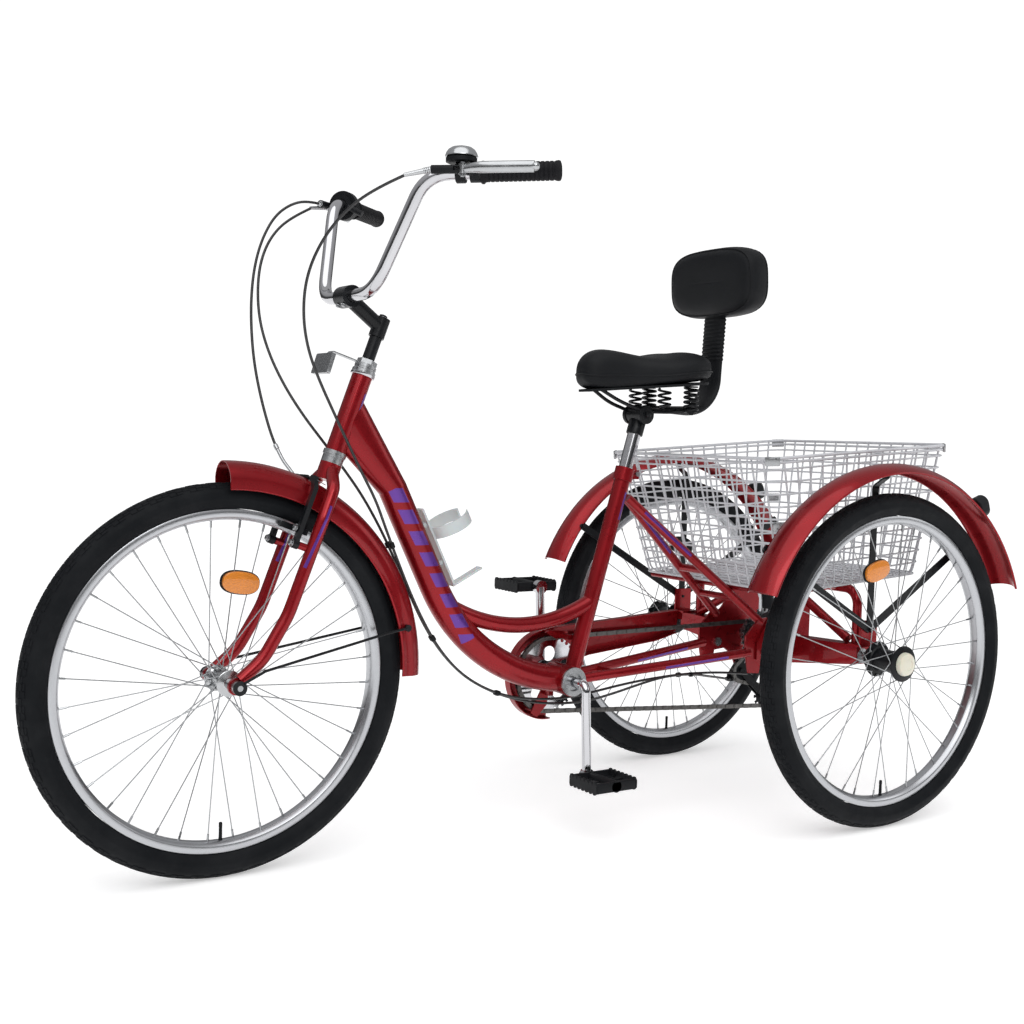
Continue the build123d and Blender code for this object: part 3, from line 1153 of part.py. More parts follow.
def pulley(place):
    wheel = sprocket(*place, CHAIN_Y, PULLEY_TEETH, 2.4, 3.0 + RUNNING_CLEARANCE)
    hub = disc(*place, CHAIN_Y - 5, CHAIN_Y + 5, 8.0, 3.0 + RUNNING_CLEARANCE)
    return wheel + hub


def frame_hardware():
    """Bearing cups and rings, dropout bolts and the seat clamp bolt."""
    x, _, z = BOTTOM_BRACKET
    half = BOTTOM_BRACKET_HALF_WIDTH
    spindle_bore = CRANK_SPINDLE_RADIUS + RUNNING_CLEARANCE
    pieces = [steering_ring(-8, 0, 20.5, 14.6), steering_ring(HEAD_TUBE_LENGTH, HEAD_TUBE_LENGTH + 8, 21.0, 14.6),
              steering_ring(-12.1, -8, 19.0, STEERER_RADIUS + RUNNING_CLEARANCE),
              steering_ring(HEAD_TUBE_LENGTH + 8, HEAD_TUBE_LENGTH + 12.1, 19.0, STEERER_RADIUS + RUNNING_CLEARANCE)]
    cup = disc(x, z, half, half + 5, BOTTOM_BRACKET_RADIUS - 1, 18.0)
    bearing = disc(x, z, half - 8, half, BOTTOM_BRACKET_BORE_RADIUS - 0.05, spindle_bore)
    outer = DROPOUT_INNER_Y + DROPOUT_THICKNESS + CARRIER_PLATE_THICKNESS
    axle_bore = REAR_AXLE_RADIUS + RUNNING_CLEARANCE
    inner_bearing = disc(0, WHEEL_RADIUS, outer - 10, outer, AXLE_BEARING_RADIUS - 0.05, axle_bore)
    outer_bearing = disc(0, WHEEL_RADIUS, BEAM_END_Y - AXLE_BEARING_LENGTH, BEAM_END_Y,
                         AXLE_BEARING_RADIUS - 0.05, axle_bore)
    bolt = disc(*DROPOUT_BOLT, DROPOUT_INNER_Y - 6, outer + 8, DROPOUT_BOLT_RADIUS - 0.05)
    head = disc(*DROPOUT_BOLT, outer, outer + 7, 9.0, DROPOUT_BOLT_RADIUS - 0.05)
    nut = disc(*DROPOUT_BOLT, DROPOUT_INNER_Y - 6, DROPOUT_INNER_Y, 9.0, DROPOUT_BOLT_RADIUS - 0.05)
    for piece in (cup, bearing, inner_bearing, outer_bearing, bolt, head, nut):
        pieces += [piece, mirrored(piece)]
    clamp = [disc(386, 681, side * 8, side * 14, 5.0) for side in (-1, 1)]
    return group(*pieces, *clamp)


# ---------------------------------------------------------------- seat

def seat_post():
    axis_direction = (Vector(SEAT_TUBE_TOP) - Vector(SEAT_TUBE_FOOT)).normalized()
    top = Vector(SEAT_TUBE_TOP) + axis_direction * SEAT_POST_STANDOUT
    foot = Vector(SEAT_TUBE_TOP) - axis_direction * SEAT_POST_INSERTION
    bore = rod(foot - axis_direction, top - axis_direction * 3, SEAT_POST_RADIUS - 2)
    return rod(foot, top, SEAT_POST_RADIUS) - bore


def post_axis_point(distance):
    axis_direction = (Vector(SEAT_TUBE_TOP) - Vector(SEAT_TUBE_FOOT)).normalized()
    return Vector(SEAT_TUBE_TOP) + axis_direction * distance


def saddle():
    """Wide sprung saddle as a simple padded solid."""
    nose = SADDLE_NOSE
    outline = [(nose, -22), (nose, 22), (nose - 40, 40), (nose - 100, 58), (nose - 150, 100),
               (nose - 200, SADDLE_HALF_WIDTH), (nose - 240, 112), (nose - SADDLE_LENGTH, 78),
               (nose - SADDLE_LENGTH, -78), (nose - 240, -112), (nose - 200, -SADDLE_HALF_WIDTH),
               (nose - 150, -100), (nose - 100, -58), (nose - 40, -40)]
    top_view = make_face(Polyline(*[(x, y, 830) for x, y in outline], close=True))
    column = extrude(top_view, amount=110, dir=(0, 0, 1))
    profile = [(nose - SADDLE_LENGTH - 2, 868), (nose - 120, 852), (nose - 60, 842), (nose - 14, 858),
               (nose, 882), (nose - 16, 912), (nose - 50, 926), (nose - 100, 922), (nose - 156, 916),
               (nose - 220, 928), (nose - 250, 928), (nose - SADDLE_LENGTH - 2, 912)]
    side_view = plate(profile, -140, 140)
    return column & side_view


def saddle_frame():
    """Clamp, rails, coil springs and the flat backrest post."""
    head = post_axis_point(SEAT_POST_STANDOUT)
    clamp = rod(post_axis_point(SEAT_POST_STANDOUT - 28), post_axis_point(SEAT_POST_STANDOUT + 2), 17.0)
    clamp += disc(head.X, head.Z + 8, -30, 30, 9.0)
    socket_foot = post_axis_point(SEAT_POST_STANDOUT - 40)
    clamp -= rod(socket_foot, post_axis_point(SEAT_POST_STANDOUT + 1), SEAT_POST_RADIUS + RUNNING_CLEARANCE)
    rail_points = [(486, 12, 846), (440, 20, 822), (380, 24, 806), (318, 34, 806), (292, 62, 812)]
    rail = swept(FilletPolyline(*rail_points, radius=18), RAIL_RADIUS)
    spring = rod((300, 66, 812), (300, 66, 856), 13.0) - rod((300, 66, 811), (300, 66, 857), 9.0)
    frame = clamp + rail + mirrored(rail) + spring + mirrored(spring)
    frame += rod((292, -66, 811), (292, 66, 811), 4.0)
    post_path = FilletPolyline((330, 0, 811), (232, 0, 811), (194, 0, 850), (182, 0, 1100), radius=[34, 60])
    plane = Plane(origin=post_path @ 0, x_dir=(0, 1, 0), z_dir=post_path % 0)
    post = sweep(plane * Rectangle(BACKREST_POST_WIDTH, BACKREST_POST_THICKNESS), path=post_path)
    frame = frame + post
    frame -= saddle()
    return group(frame.solids().sort_by(SortBy.VOLUME)[-1])


def backrest_pad():
    """Padded back with a slot behind for its post."""
    plane = Plane(origin=BACKREST_CENTRE, x_dir=(0, 1, 0), z_dir=(0.998, 0, -0.06))
    face = plane * RectangleRounded(BACKREST_WIDTH, BACKREST_HEIGHT, BACKREST_CORNER_RADIUS)
    pad = extrude(face, amount=BACKREST_THICKNESS / 2, both=True)
    pad = fillet(pad.edges().group_by(Axis.X)[-1], 14)
    slot = BACKREST_POST_WIDTH / 2 + 0.4
    return pad - block(150, 192, -slot, slot, 980, 1101)


# ---------------------------------------------------------------- small frame parts

def bottle_cage():
    """Plastic bottle cage on the down tube's upper side."""
    start = Vector(876, 0, 612)
    end = Vector(806, 0, 474)
    along = (end - start).normalized()
    away = Vector(along.Z, 0, -along.X)
    if away.X > 0:
        away = away * -1
    spine_plane = Plane(origin=start + away * 4, x_dir=(0, 1, 0), z_dir=along)
    spine = extrude(spine_plane * Rectangle(22, 4), amount=(end - start).length)
    centre = start + away * 46
    ring = rod(centre + along * 40, centre + along * 62, 41.0) - rod(centre + along * 30, centre + along * 70, 38.0)
    ring -= Plane(origin=centre + away * 34, x_dir=(0, 1, 0), z_dir=along) * Box(34, 30, 300)
    foot = extrude(Plane(origin=end + away * 36, x_dir=(0, 1, 0), z_dir=along) * Rectangle(18, 68), amount=4)
    cage = spine + ring + foot
    for share in (0.2, 0.7):
        seat = start + (end - start) * share
        cage += rod(seat + away * 4, seat - away * 30, 6.0)
    cage -= solid_down_tube()
    return group(cage.solids().sort_by(SortBy.VOLUME)[-1])


# ---------------------------------------------------------------- nodes

def frame_nodes():
    top_bracket, bottom_bracket = guard_brackets()
    body, bolt = derailleur_body()
    return {
        "head_tube": head_tube(),
        "down_tube": down_tube(),
        "brace_tube": brace_tube(),
        "seat_tube": seat_tube(),
        "chain_stays": chain_stays(),
        "seat_stays": seat_stays(),
        "rear_carrier": rear_carrier(),
        "rear_fenders": both(rear_fender()),
        "rear_fender_stays": rear_fender_stays(),
        "rear_reflectors": rear_reflectors(),
        "basket": basket(),
        "bottle_cage": bottle_cage(),
        "chain_guard": group(chain_guard(), top_bracket, bottom_bracket),
        "chain": chain(),
        "frame_hardware": frame_hardware(),
        "rear_brake_cover": rear_brake_cover(),
        "derailleur_body": group(body, bolt),
        "rear_brake_cable": cable(LEFT_BRAKE_CABLE, "rear brake cable"),
        "shift_cable": cable(SHIFT_CABLE, "shift cable"),
    }


def steering_nodes():
    perches = both(lever_body())
    return {
        "fork": fork(),
        "steering_hardware": steering_hardware(),
        "stem": stem(),
        "handlebar": handlebar(),
        "grips": grips(),
        "lever_bodies": group(perches, shifter_body()),
        "bell": bell(),
        "front_fender": front_fender(),
        "front_fender_stays": front_fender_stays(),
        "front_brake_cable": cable(FRONT_BRAKE_CABLE, "front brake cable"),
    }


def wheel_nodes():
    right_hub = mirrored(rear_hub(REAR_AXLE_RADIUS + RUNNING_CLEARANCE))
    rear_flanges = (REAR_HUB_INNER_FLANGE_Y, REAR_HUB_OUTER_FLANGE_Y)
    rear_spokes = spokes(0, rear_flanges, REAR_WHEEL_Y, REAR_HUB_FLANGE_RADIUS)
    front_flanges = (-FRONT_HUB_FLANGE_Y, FRONT_HUB_FLANGE_Y)
    front_spokes = spokes(WHEELBASE, front_flanges, 0, FRONT_HUB_FLANGE_RADIUS)
    return {
        "front_tyre": group(tyre(WHEELBASE, 0), valve(WHEELBASE, 0)),
        "front_rim": rim(WHEELBASE, 0),
        "front_spokes": group(*front_spokes),
        "front_hub": front_hub(),
        "left_tyre": group(tyre(0, REAR_WHEEL_Y), valve(0, REAR_WHEEL_Y)),
        "left_rim": rim(0, REAR_WHEEL_Y),
        "left_spokes": group(*rear_spokes),
        "left_hub": rear_hub(REAR_AXLE_RADIUS),
        "right_tyre": group(tyre(0, -REAR_WHEEL_Y), valve(0, -REAR_WHEEL_Y)),
        "right_rim": rim(0, -REAR_WHEEL_Y),
        "right_spokes": group(*[mirrored(wire) for wire in rear_spokes]),
        "right_hub": right_hub,
        "rear_axle": rear_axle(),
    }


def moving_nodes():
    return {
        "cassette": cassette(),
        "crank": crank(),
        "pedal_left": pedal(),
        "pedal_right": pedal().rotate(Axis(BOTTOM_BRACKET, (1, 0, 0)), 180),
        "brake_lever_left": brake_lever(),
        "brake_lever_right": mirrored(brake_lever()),
        "brake_arm_left": brake_arm(),
        "brake_arm_right": mirrored(brake_arm()),
        "rear_brake_arm": rear_brake_arm(),
        "shifter_lever": shifter_lever(),
        "bell_lever": bell_lever(),
        "derailleur_cage": derailleur_cage(),
        "guide_pulley": pulley(GUIDE_PULLEY),
        "tension_pulley": pulley(TENSION_PULLEY),
        "seat_post": seat_post(),
        "saddle": saddle(),
        "saddle_frame": saddle_frame(),
        "backrest_pad": backrest_pad(),
    }


def main():
    os.makedirs("parts", exist_ok=True)
    nodes = {**frame_nodes(), **steering_nodes(), **wheel_nodes(), **moving_nodes()}
    for name, shape in nodes.items():
        moved = group(shape).moved(Location((-ORIGIN_X, 0, 0)))
        export_step(moved, f"parts/{name}.step")
    print(len(nodes), "nodes")


if __name__ == "__main__":
    main()
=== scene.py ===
"""Looks of an adult tricycle: paint, rubber, chrome, wires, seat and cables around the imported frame."""
import math
import random

import bmesh
import bpy
from bpy.props import FloatProperty, FloatVectorProperty, IntProperty, PointerProperty
from mathutils import Matrix, Vector


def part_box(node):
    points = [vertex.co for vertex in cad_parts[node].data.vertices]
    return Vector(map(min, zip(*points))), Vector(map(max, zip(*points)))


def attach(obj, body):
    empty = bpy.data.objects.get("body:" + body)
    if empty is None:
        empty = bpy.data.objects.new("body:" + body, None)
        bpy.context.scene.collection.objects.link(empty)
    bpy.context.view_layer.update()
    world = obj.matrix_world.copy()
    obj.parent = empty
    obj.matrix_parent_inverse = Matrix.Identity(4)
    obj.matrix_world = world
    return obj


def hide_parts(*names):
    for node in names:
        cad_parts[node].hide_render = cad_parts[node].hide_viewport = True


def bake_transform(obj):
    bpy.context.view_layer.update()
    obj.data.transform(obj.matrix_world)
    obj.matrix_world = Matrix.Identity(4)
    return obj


bl_info = {
    "name": "Adult tricycle",
    "version": (1, 0, 0),
    "blender": (4, 5, 0),
    "location": "View3D > Sidebar > Tricycle",
    "description": "Builds the finishes and the soft, wire and moulded pieces of an adult tricycle",
    "category": "Object",
}

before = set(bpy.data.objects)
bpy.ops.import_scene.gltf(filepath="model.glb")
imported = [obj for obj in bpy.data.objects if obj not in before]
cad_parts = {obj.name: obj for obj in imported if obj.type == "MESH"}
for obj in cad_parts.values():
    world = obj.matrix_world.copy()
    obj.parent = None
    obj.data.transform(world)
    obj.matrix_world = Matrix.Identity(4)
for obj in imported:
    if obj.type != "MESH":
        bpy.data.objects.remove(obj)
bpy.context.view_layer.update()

# Pieces are drawn in millimetres with x = 0 at the rear axle, then set down in the frame in metres.
MM = 0.001
WHEELBASE = 1238.0
AXLE_HEIGHT = 330.0
TRACK_SIDE = 328.0
tyre_low, tyre_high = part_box("front_tyre")
SHIFT = (tyre_low.x + tyre_high.x) / 2 - WHEELBASE * MM
TO_ROW = Matrix.Translation((SHIFT, 0, 0)) @ Matrix.Scale(MM, 4)
HEAD_FOOT = Vector((1042.0, 0.0, 713.0))
HEAD_LEAN = math.radians(70.0)
STEER_AHEAD = Vector((math.sin(HEAD_LEAN), 0, math.cos(HEAD_LEAN)))
STEER_UP = Vector((-math.cos(HEAD_LEAN), 0, math.sin(HEAD_LEAN)))
BRACKET = Vector((545.0, 0.0, 280.0))
X_AXIS, Y_AXIS, Z_AXIS = Vector((1, 0, 0)), Vector((0, 1, 0)), Vector((0, 0, 1))


# ---------------------------------------------------------------- shader sums

class Signal:
    """A node's output that takes part in sums."""

    def __init__(self, finish, socket):
        self.finish = finish
        self.socket = socket

    def maths(self, operation, *values, clamp=False):
        settings = {"operation": operation, "use_clamp": clamp}
        return self.finish.out("ShaderNodeMath", settings, dict(enumerate(values)))

    def __add__(self, other):
        return self.maths("ADD", self, other)

    def __sub__(self, other):
        return self.maths("SUBTRACT", self, other)

    def __rsub__(self, other):
        return self.maths("SUBTRACT", other, self)

    def __mul__(self, other):
        return self.maths("MULTIPLY", self, other)

    def __truediv__(self, other):
        return self.maths("DIVIDE", self, other)

    def __gt__(self, other):
        return self.maths("GREATER_THAN", self, other)

    def __lt__(self, other):
        return self.maths("LESS_THAN", self, other)

    def fraction(self):
        return self.maths("FRACT", self)

    def clipped(self):
        return self.maths("ADD", self, 0.0, clamp=True)

    def between(self, low, high):
        return (self > low) * (self < high)

    __radd__ = __add__
    __rmul__ = __mul__


class Finish:
    """A procedural material and the nodes behind it."""

    def __init__(self, name, **shader):
        self.material = bpy.data.materials.new(name)
        self.material.use_nodes = True
        self.tree = self.material.node_tree
        self.shader = self.tree.nodes["Principled BSDF"]
        place = self.tree.nodes.new("ShaderNodeTexCoord")
        self.place = Signal(self, place.outputs["Object"])
        self.set(**shader)

    def set(self, **sockets):
        for name, value in sockets.items():
            self.feed(self.shader.inputs[name.replace("_", " ")], value)

    def feed(self, socket, value):
        if isinstance(value, Signal):
            self.tree.links.new(value.socket, socket)
        elif socket.type == "RGBA" and len(value) == 3:
            socket.default_value = (*value, 1.0)
        else:
            socket.default_value = value

    def node(self, kind, settings=None, sockets=None):
        made = self.tree.nodes.new(kind)
        for name, value in (settings or {}).items():
            if name == "stops":
                ramp = made.color_ramp.elements
                for element, (position, shade) in zip(ramp, value):
                    element.position = position
                    element.color = (shade, shade, shade, 1.0)
            else:
                setattr(made, name, value)
        for name, value in (sockets or {}).items():
            self.feed(made.inputs[name], value)
        return made

    def out(self, kind, settings=None, sockets=None, output=0):
        return Signal(self, self.node(kind, settings, sockets).outputs[output])

    def noise(self, scale, detail=3.0, place=None, roughness=0.55):
        sockets = {"Vector": place or self.place, "Scale": scale, "Detail": detail, "Roughness": roughness}
        return self.out("ShaderNodeTexNoise", None, sockets)

    def cells(self, scale, feature="F1", place=None):
        sockets = {"Vector": place or self.place, "Scale": scale}
        return self.out("ShaderNodeTexVoronoi", {"feature": feature}, sockets)

    def axes(self, place=None):
        parts = self.node("ShaderNodeSeparateXYZ", None, {0: place or self.place})
        return [Signal(self, parts.outputs[index]) for index in range(3)]

    def mix(self, share, first, second):
        made = self.node("ShaderNodeMix", {"data_type": "RGBA"})
        self.feed(made.inputs[0], share)
        self.feed(made.inputs[6], first)
        self.feed(made.inputs[7], second)
        return Signal(self, made.outputs[2])

    def bump(self, height, strength, distance=0.001, normal=None):
        sockets = {"Height": height, "Strength": strength, "Distance": distance}
        if normal is not None:
            sockets["Normal"] = normal
        self.normal = self.out("ShaderNodeBump", None, sockets)
        self.feed(self.shader.inputs["Normal"], self.normal)
        return self.normal

    def spread(self, signal, low, high, out_low=0.0, out_high=1.0):
        sockets = {"Value": signal, "From Min": low, "From Max": high, "To Min": out_low, "To Max": out_high}
        return self.out("ShaderNodeMapRange", None, sockets)


FINISHES = {}


def finish_of(maker, *values):
    """Each finish is made once and shared."""
    key = (maker.__name__, values)
    if key not in FINISHES:
        FINISHES[key] = maker(*values).material
    return FINISHES[key]


def band(finish, start, end, low, high):
    """A stripe seen from the side: between two points along a tube, and between two distances across it."""
    begin = Vector((start[0] * MM + SHIFT, start[1] * MM))
    run = Vector((end[0] - start[0], end[1] - start[1])) * MM
    heading = run.normalized()
    x, _, z = finish.axes()
    along = x * heading.x + z * heading.y - begin.dot(heading)
    across = z * heading.x - x * heading.y - (begin.y * heading.x - begin.x * heading.y)
    return along.between(0.0, run.length) * across.between(low * MM, high * MM), along, across


def candy_paint(kind="plain"):
    """Clear-coated metallic red, with plain violet trim where the tube carries it."""
    looks = bpy.context.scene.trike_finish
    made = Finish("candy_paint_" + kind, Metallic=0.62, Specular_IOR_Level=0.2, Coat_Weight=0.3, Coat_Roughness=0.04)
    drift = made.noise(6.0, 2.0)
    flake = made.cells(2600.0)
    deep = tuple(looks.paint)
    bright = tuple(min(1.0, value * 1.5) for value in deep)
    colour = made.mix(made.spread(drift, 0.3, 0.7, 0.0, 0.55), deep, bright)
    colour = made.mix(made.spread(flake, 0.0, 0.18, 0.12, 0.0), colour, (0.50, 0.05, 0.05))
    violet = tuple(looks.trim)
    for start, end, low, high in TRIM.get(kind, []):
        mask, along, across = band(made, start, end, low, high)
        if kind == "down_tube":
            cuts = ((along + across * 0.55) / 0.044).fraction()
            mask = mask * cuts.between(0.0, 0.66)
        colour = made.mix(mask, colour, violet)
    made.set(Base_Color=colour)
    made.set(Roughness=made.spread(made.noise(40.0), 0.3, 0.7, 0.24, 0.34))
    made.bump(made.noise(420.0, 2.0), 0.015, 0.0004)
    return made


def satin_black():
    """Black powder coat with a fine texture."""
    made = Finish("satin_black", Coat_Weight=0.05, Coat_Roughness=0.3)
    made.set(Base_Color=made.mix(made.noise(30.0), (0.004, 0.0045, 0.0055), (0.010, 0.011, 0.013)))
    made.set(Roughness=made.spread(made.noise(90.0), 0.3, 0.7, 0.26, 0.38), Specular_IOR_Level=0.2)
    made.bump(made.noise(900.0, 2.0), 0.12, 0.0004)
    return made


def moulded_black():
    """Fine-grained black plastic."""
    made = Finish("moulded_black")
    made.set(Base_Color=made.mix(made.noise(25.0), (0.005, 0.0055, 0.0065), (0.012, 0.013, 0.015)))
    made.set(Roughness=made.spread(made.noise(60.0), 0.3, 0.7, 0.38, 0.52), Specular_IOR_Level=0.14)
    made.bump(made.cells(1500.0), 0.16, 0.0004)
    return made


def tyre_rubber():
    """Matte tyre rubber, faintly dusty, with fine rings on its sidewalls."""
    made = Finish("tyre_rubber")
    dust = made.spread(made.noise(14.0, 5.0), 0.42, 0.75)
    made.set(Base_Color=made.mix(dust * 0.5, (0.006, 0.007, 0.0085), (0.020, 0.021, 0.023)))
    made.set(Roughness=made.spread(made.noise(70.0), 0.3, 0.7, 0.50, 0.66), Specular_IOR_Level=0.1)
    made.bump(made.noise(1300.0, 3.0), 0.2, 0.0005)
    return made


def grip_rubber():
    made = Finish("grip_rubber")
    made.set(Base_Color=made.mix(made.noise(40.0), (0.005, 0.005, 0.006), (0.012, 0.012, 0.014)))
    made.set(Roughness=made.spread(made.noise(120.0), 0.3, 0.7, 0.46, 0.62), Specular_IOR_Level=0.12)
    made.bump(made.cells(1100.0), 0.3, 0.0005)
    return made


def bright_chrome():
    """Chrome plate with faint wiping marks."""
    made = Finish("bright_chrome", Metallic=1.0)
    made.set(Base_Color=made.mix(made.noise(8.0), (0.50, 0.50, 0.52), (0.64, 0.64, 0.66)))
    stretched = made.out("ShaderNodeMapping", None, {"Vector": made.place, "Scale": (1.0, 14.0, 1.0)})
    smear = made.noise(38.0, 5.0, stretched)
    made.set(Roughness=made.spread(smear, 0.35, 0.8, 0.05, 0.15))
    made.bump(made.noise(150.0, 2.0), 0.015, 0.0005)
    return made


def turned_alloy(centre):
    """Polished rim alloy with fine rings left by turning."""
    made = Finish("turned_alloy_%d_%d" % (centre[0], centre[1]), Metallic=1.0)
    x, _, z = made.axes()
    offset_x = x - (centre[0] * MM + SHIFT)
    offset_z = z - AXLE_HEIGHT * MM
    squared = offset_x * offset_x + offset_z * offset_z
    radius = made.out("ShaderNodeMath", {"operation": "SQRT"}, {0: squared})
    ring_place = made.out("ShaderNodeCombineXYZ", None, {0: radius * 60.0, 1: 0.0, 2: 0.0})
    rings = made.noise(40.0, 6.0, ring_place)
    made.set(Base_Color=made.mix(rings, (0.40, 0.41, 0.43), (0.56, 0.57, 0.59)))
    made.set(Roughness=made.spread(rings, 0.3, 0.7, 0.20, 0.36))
    made.bump(rings, 0.06, 0.0004)
    return made


def plated_steel():
    """Zinc-plated bolts, spokes and cogs."""
    made = Finish("plated_steel", Metallic=1.0)
    grain = made.noise(220.0, 4.0)
    made.set(Base_Color=made.mix(grain, (0.30, 0.31, 0.32), (0.46, 0.47, 0.48)))
    made.set(Roughness=made.spread(grain, 0.3, 0.7, 0.22, 0.38))
    made.bump(grain, 0.05, 0.0004)
    return made


def cast_alloy():
    """Polished cast alloy, as on levers and bell."""
    made = Finish("cast_alloy", Metallic=1.0)
    grain = made.noise(60.0, 5.0)
    made.set(Base_Color=made.mix(grain, (0.38, 0.39, 0.40), (0.54, 0.55, 0.56)))
    made.set(Roughness=made.spread(grain, 0.3, 0.7, 0.16, 0.30))
    made.bump(made.noise(500.0), 0.05, 0.0004)
    return made


def oiled_steel():
    """Dark, oiled chain steel."""
    made = Finish("oiled_steel", Metallic=0.9)
    grime = made.noise(160.0, 4.0)
    made.set(Base_Color=made.mix(grime, (0.05, 0.046, 0.042), (0.24, 0.235, 0.23)))
    made.set(Roughness=made.spread(grime, 0.3, 0.7, 0.28, 0.52))
    made.bump(grime, 0.1, 0.0004)
    return made


def white_coating():
    """White plastic dipped over basket wire."""
    made = Finish("white_coating", Coat_Weight=0.3, Coat_Roughness=0.15)
    made.set(Base_Color=made.mix(made.noise(18.0, 4.0), (0.50, 0.51, 0.54), (0.64, 0.65, 0.68)))
    made.set(Roughness=made.spread(made.noise(80.0), 0.3, 0.7, 0.26, 0.42))
    made.bump(made.noise(300.0), 0.12, 0.0005)
    return made


def milky_plastic():
    """Milky see-through nylon."""
    made = Finish("milky_plastic", Transmission_Weight=0.12, IOR=1.45, Subsurface_Weight=0.15)
    made.set(Base_Color=made.mix(made.noise(30.0), (0.52, 0.56, 0.57), (0.66, 0.70, 0.71)))
    made.set(Roughness=made.spread(made.noise(60.0), 0.3, 0.7, 0.28, 0.42))
    made.bump(made.noise(500.0), 0.08, 0.0004)
    return made


def seat_vinyl():
    """Black grained seat cover."""
    made = Finish("seat_vinyl", Specular_IOR_Level=0.16)
    grain = made.cells(620.0, "DISTANCE_TO_EDGE")
    creases = made.spread(grain, 0.0, 0.12)
    made.set(Base_Color=made.mix(made.noise(12.0, 4.0), (0.004, 0.0046, 0.0055), (0.009, 0.010, 0.012)))
    worn = made.noise(9.0, 3.0)
    made.set(Roughness=made.spread(worn, 0.35, 0.65, 0.36, 0.50) + creases * 0.06)
    made.bump(creases + made.noise(1500.0) * 0.3, 0.22, 0.0006)
    return made


def cream_plastic():
    made = Finish("cream_plastic", Coat_Weight=0.2, Subsurface_Weight=0.1)
    made.set(Base_Color=made.mix(made.noise(30.0), (0.66, 0.62, 0.50), (0.80, 0.77, 0.66)))
    made.set(Roughness=made.spread(made.noise(90.0), 0.3, 0.7, 0.30, 0.44))
    made.bump(made.noise(700.0), 0.08, 0.0004)
    return made


def lens(kind):
    """Prismatic reflector plastic: small pyramids under a smooth face. The amber one carries a faint painted glow."""
    tints = {"amber": (0.86, 0.27, 0.012), "red": (0.50, 0.010, 0.012), "clear": (0.74, 0.76, 0.78)}
    darker = tuple(value * 0.62 for value in tints[kind])
    made = Finish("lens_" + kind, Coat_Weight=1.0, Coat_Roughness=0.04, Metallic=0.35 if kind == "clear" else 0.15)
    prisms = made.cells(420.0, "F1")
    made.set(Base_Color=made.mix(made.spread(prisms, 0.1, 0.55), tints[kind], darker))
    made.set(Roughness=made.spread(prisms, 0.0, 0.6, 0.16, 0.34))
    # Painted light: the amber lens is given a faint glow of its own, though a reflector is no lamp.
    if kind == "amber":
        made.set(Emission_Color=(0.9, 0.25, 0.01), Emission_Strength=0.12)
    made.bump(prisms, 0.5, 0.0012)
    return made


def cable_jacket():
    """Smooth black cable housing."""
    made = Finish("cable_jacket", Coat_Weight=0.25, Coat_Roughness=0.2)
    made.set(Base_Color=made.mix(made.noise(40.0), (0.005, 0.005, 0.006), (0.011, 0.011, 0.012)))
    made.set(Roughness=made.spread(made.noise(110.0), 0.3, 0.7, 0.34, 0.48))
    made.bump(made.noise(700.0, 2.0), 0.06, 0.0004)
    return made


def studio_floor():
    made = Finish("studio_floor", Emission_Color=(1.0, 1.0, 1.0, 1.0), Emission_Strength=0.42)
    made.set(Base_Color=made.mix(made.noise(1.2, 3.0), (0.86, 0.86, 0.86), (0.90, 0.90, 0.90)))
    made.set(Roughness=made.spread(made.noise(30.0), 0.3, 0.7, 0.7, 0.8))
    return made


# Plain trim on the tubes: start and end in the side view, and the band across the tube, in millimetres.
TRIM = {
    "down_tube": [((936, 652), (776, 372), -12, 13)],
    "seat_tube": [((437, 592), (421, 646), 3, 10)],
    "seat_stays": [((368, 606), (262, 518), -2, 4)],
    "chain_stays": [((330, 297), (180, 311), 0, 5)],
    "fork": [((1075, 622), (1122, 520), 1, 6)],
    "head_tube": [((1020, 774), (1004, 818), 9, 14)],
}


# ---------------------------------------------------------------- mesh helpers

def placed(origin, heading, side=None):
    """A frame whose z runs along heading and whose x lies near side."""
    z = Vector(heading).normalized()
    side = Vector(side) if side is not None else (X_AXIS if abs(z.x) < 0.9 else Z_AXIS)
    y = z.cross(side).normalized()
    x = y.cross(z)
    matrix = Matrix((x, y, z)).transposed().to_4x4()
    matrix.translation = Vector(origin)
    return matrix


def steered(x, y, z):
    return HEAD_FOOT + STEER_AHEAD * x + Y_AXIS * y + STEER_UP * z


def rounded(points, radius, steps=6):
    """A run of points whose corners are turned into arcs."""
    route = [Vector(point) for point in points]
    made = [route[0]]
    for before, here, after in zip(route, route[1:], route[2:]):
        back, on = (before - here), (after - here)
        reach = min(radius, 0.49 * back.length, 0.49 * on.length)
        first, last = here + back.normalized() * reach, here + on.normalized() * reach
        for step in range(steps + 1):
            share = step / steps
            made.append(first.lerp(here, share).lerp(here.lerp(last, share), share))
    made.append(route[-1])
    return made


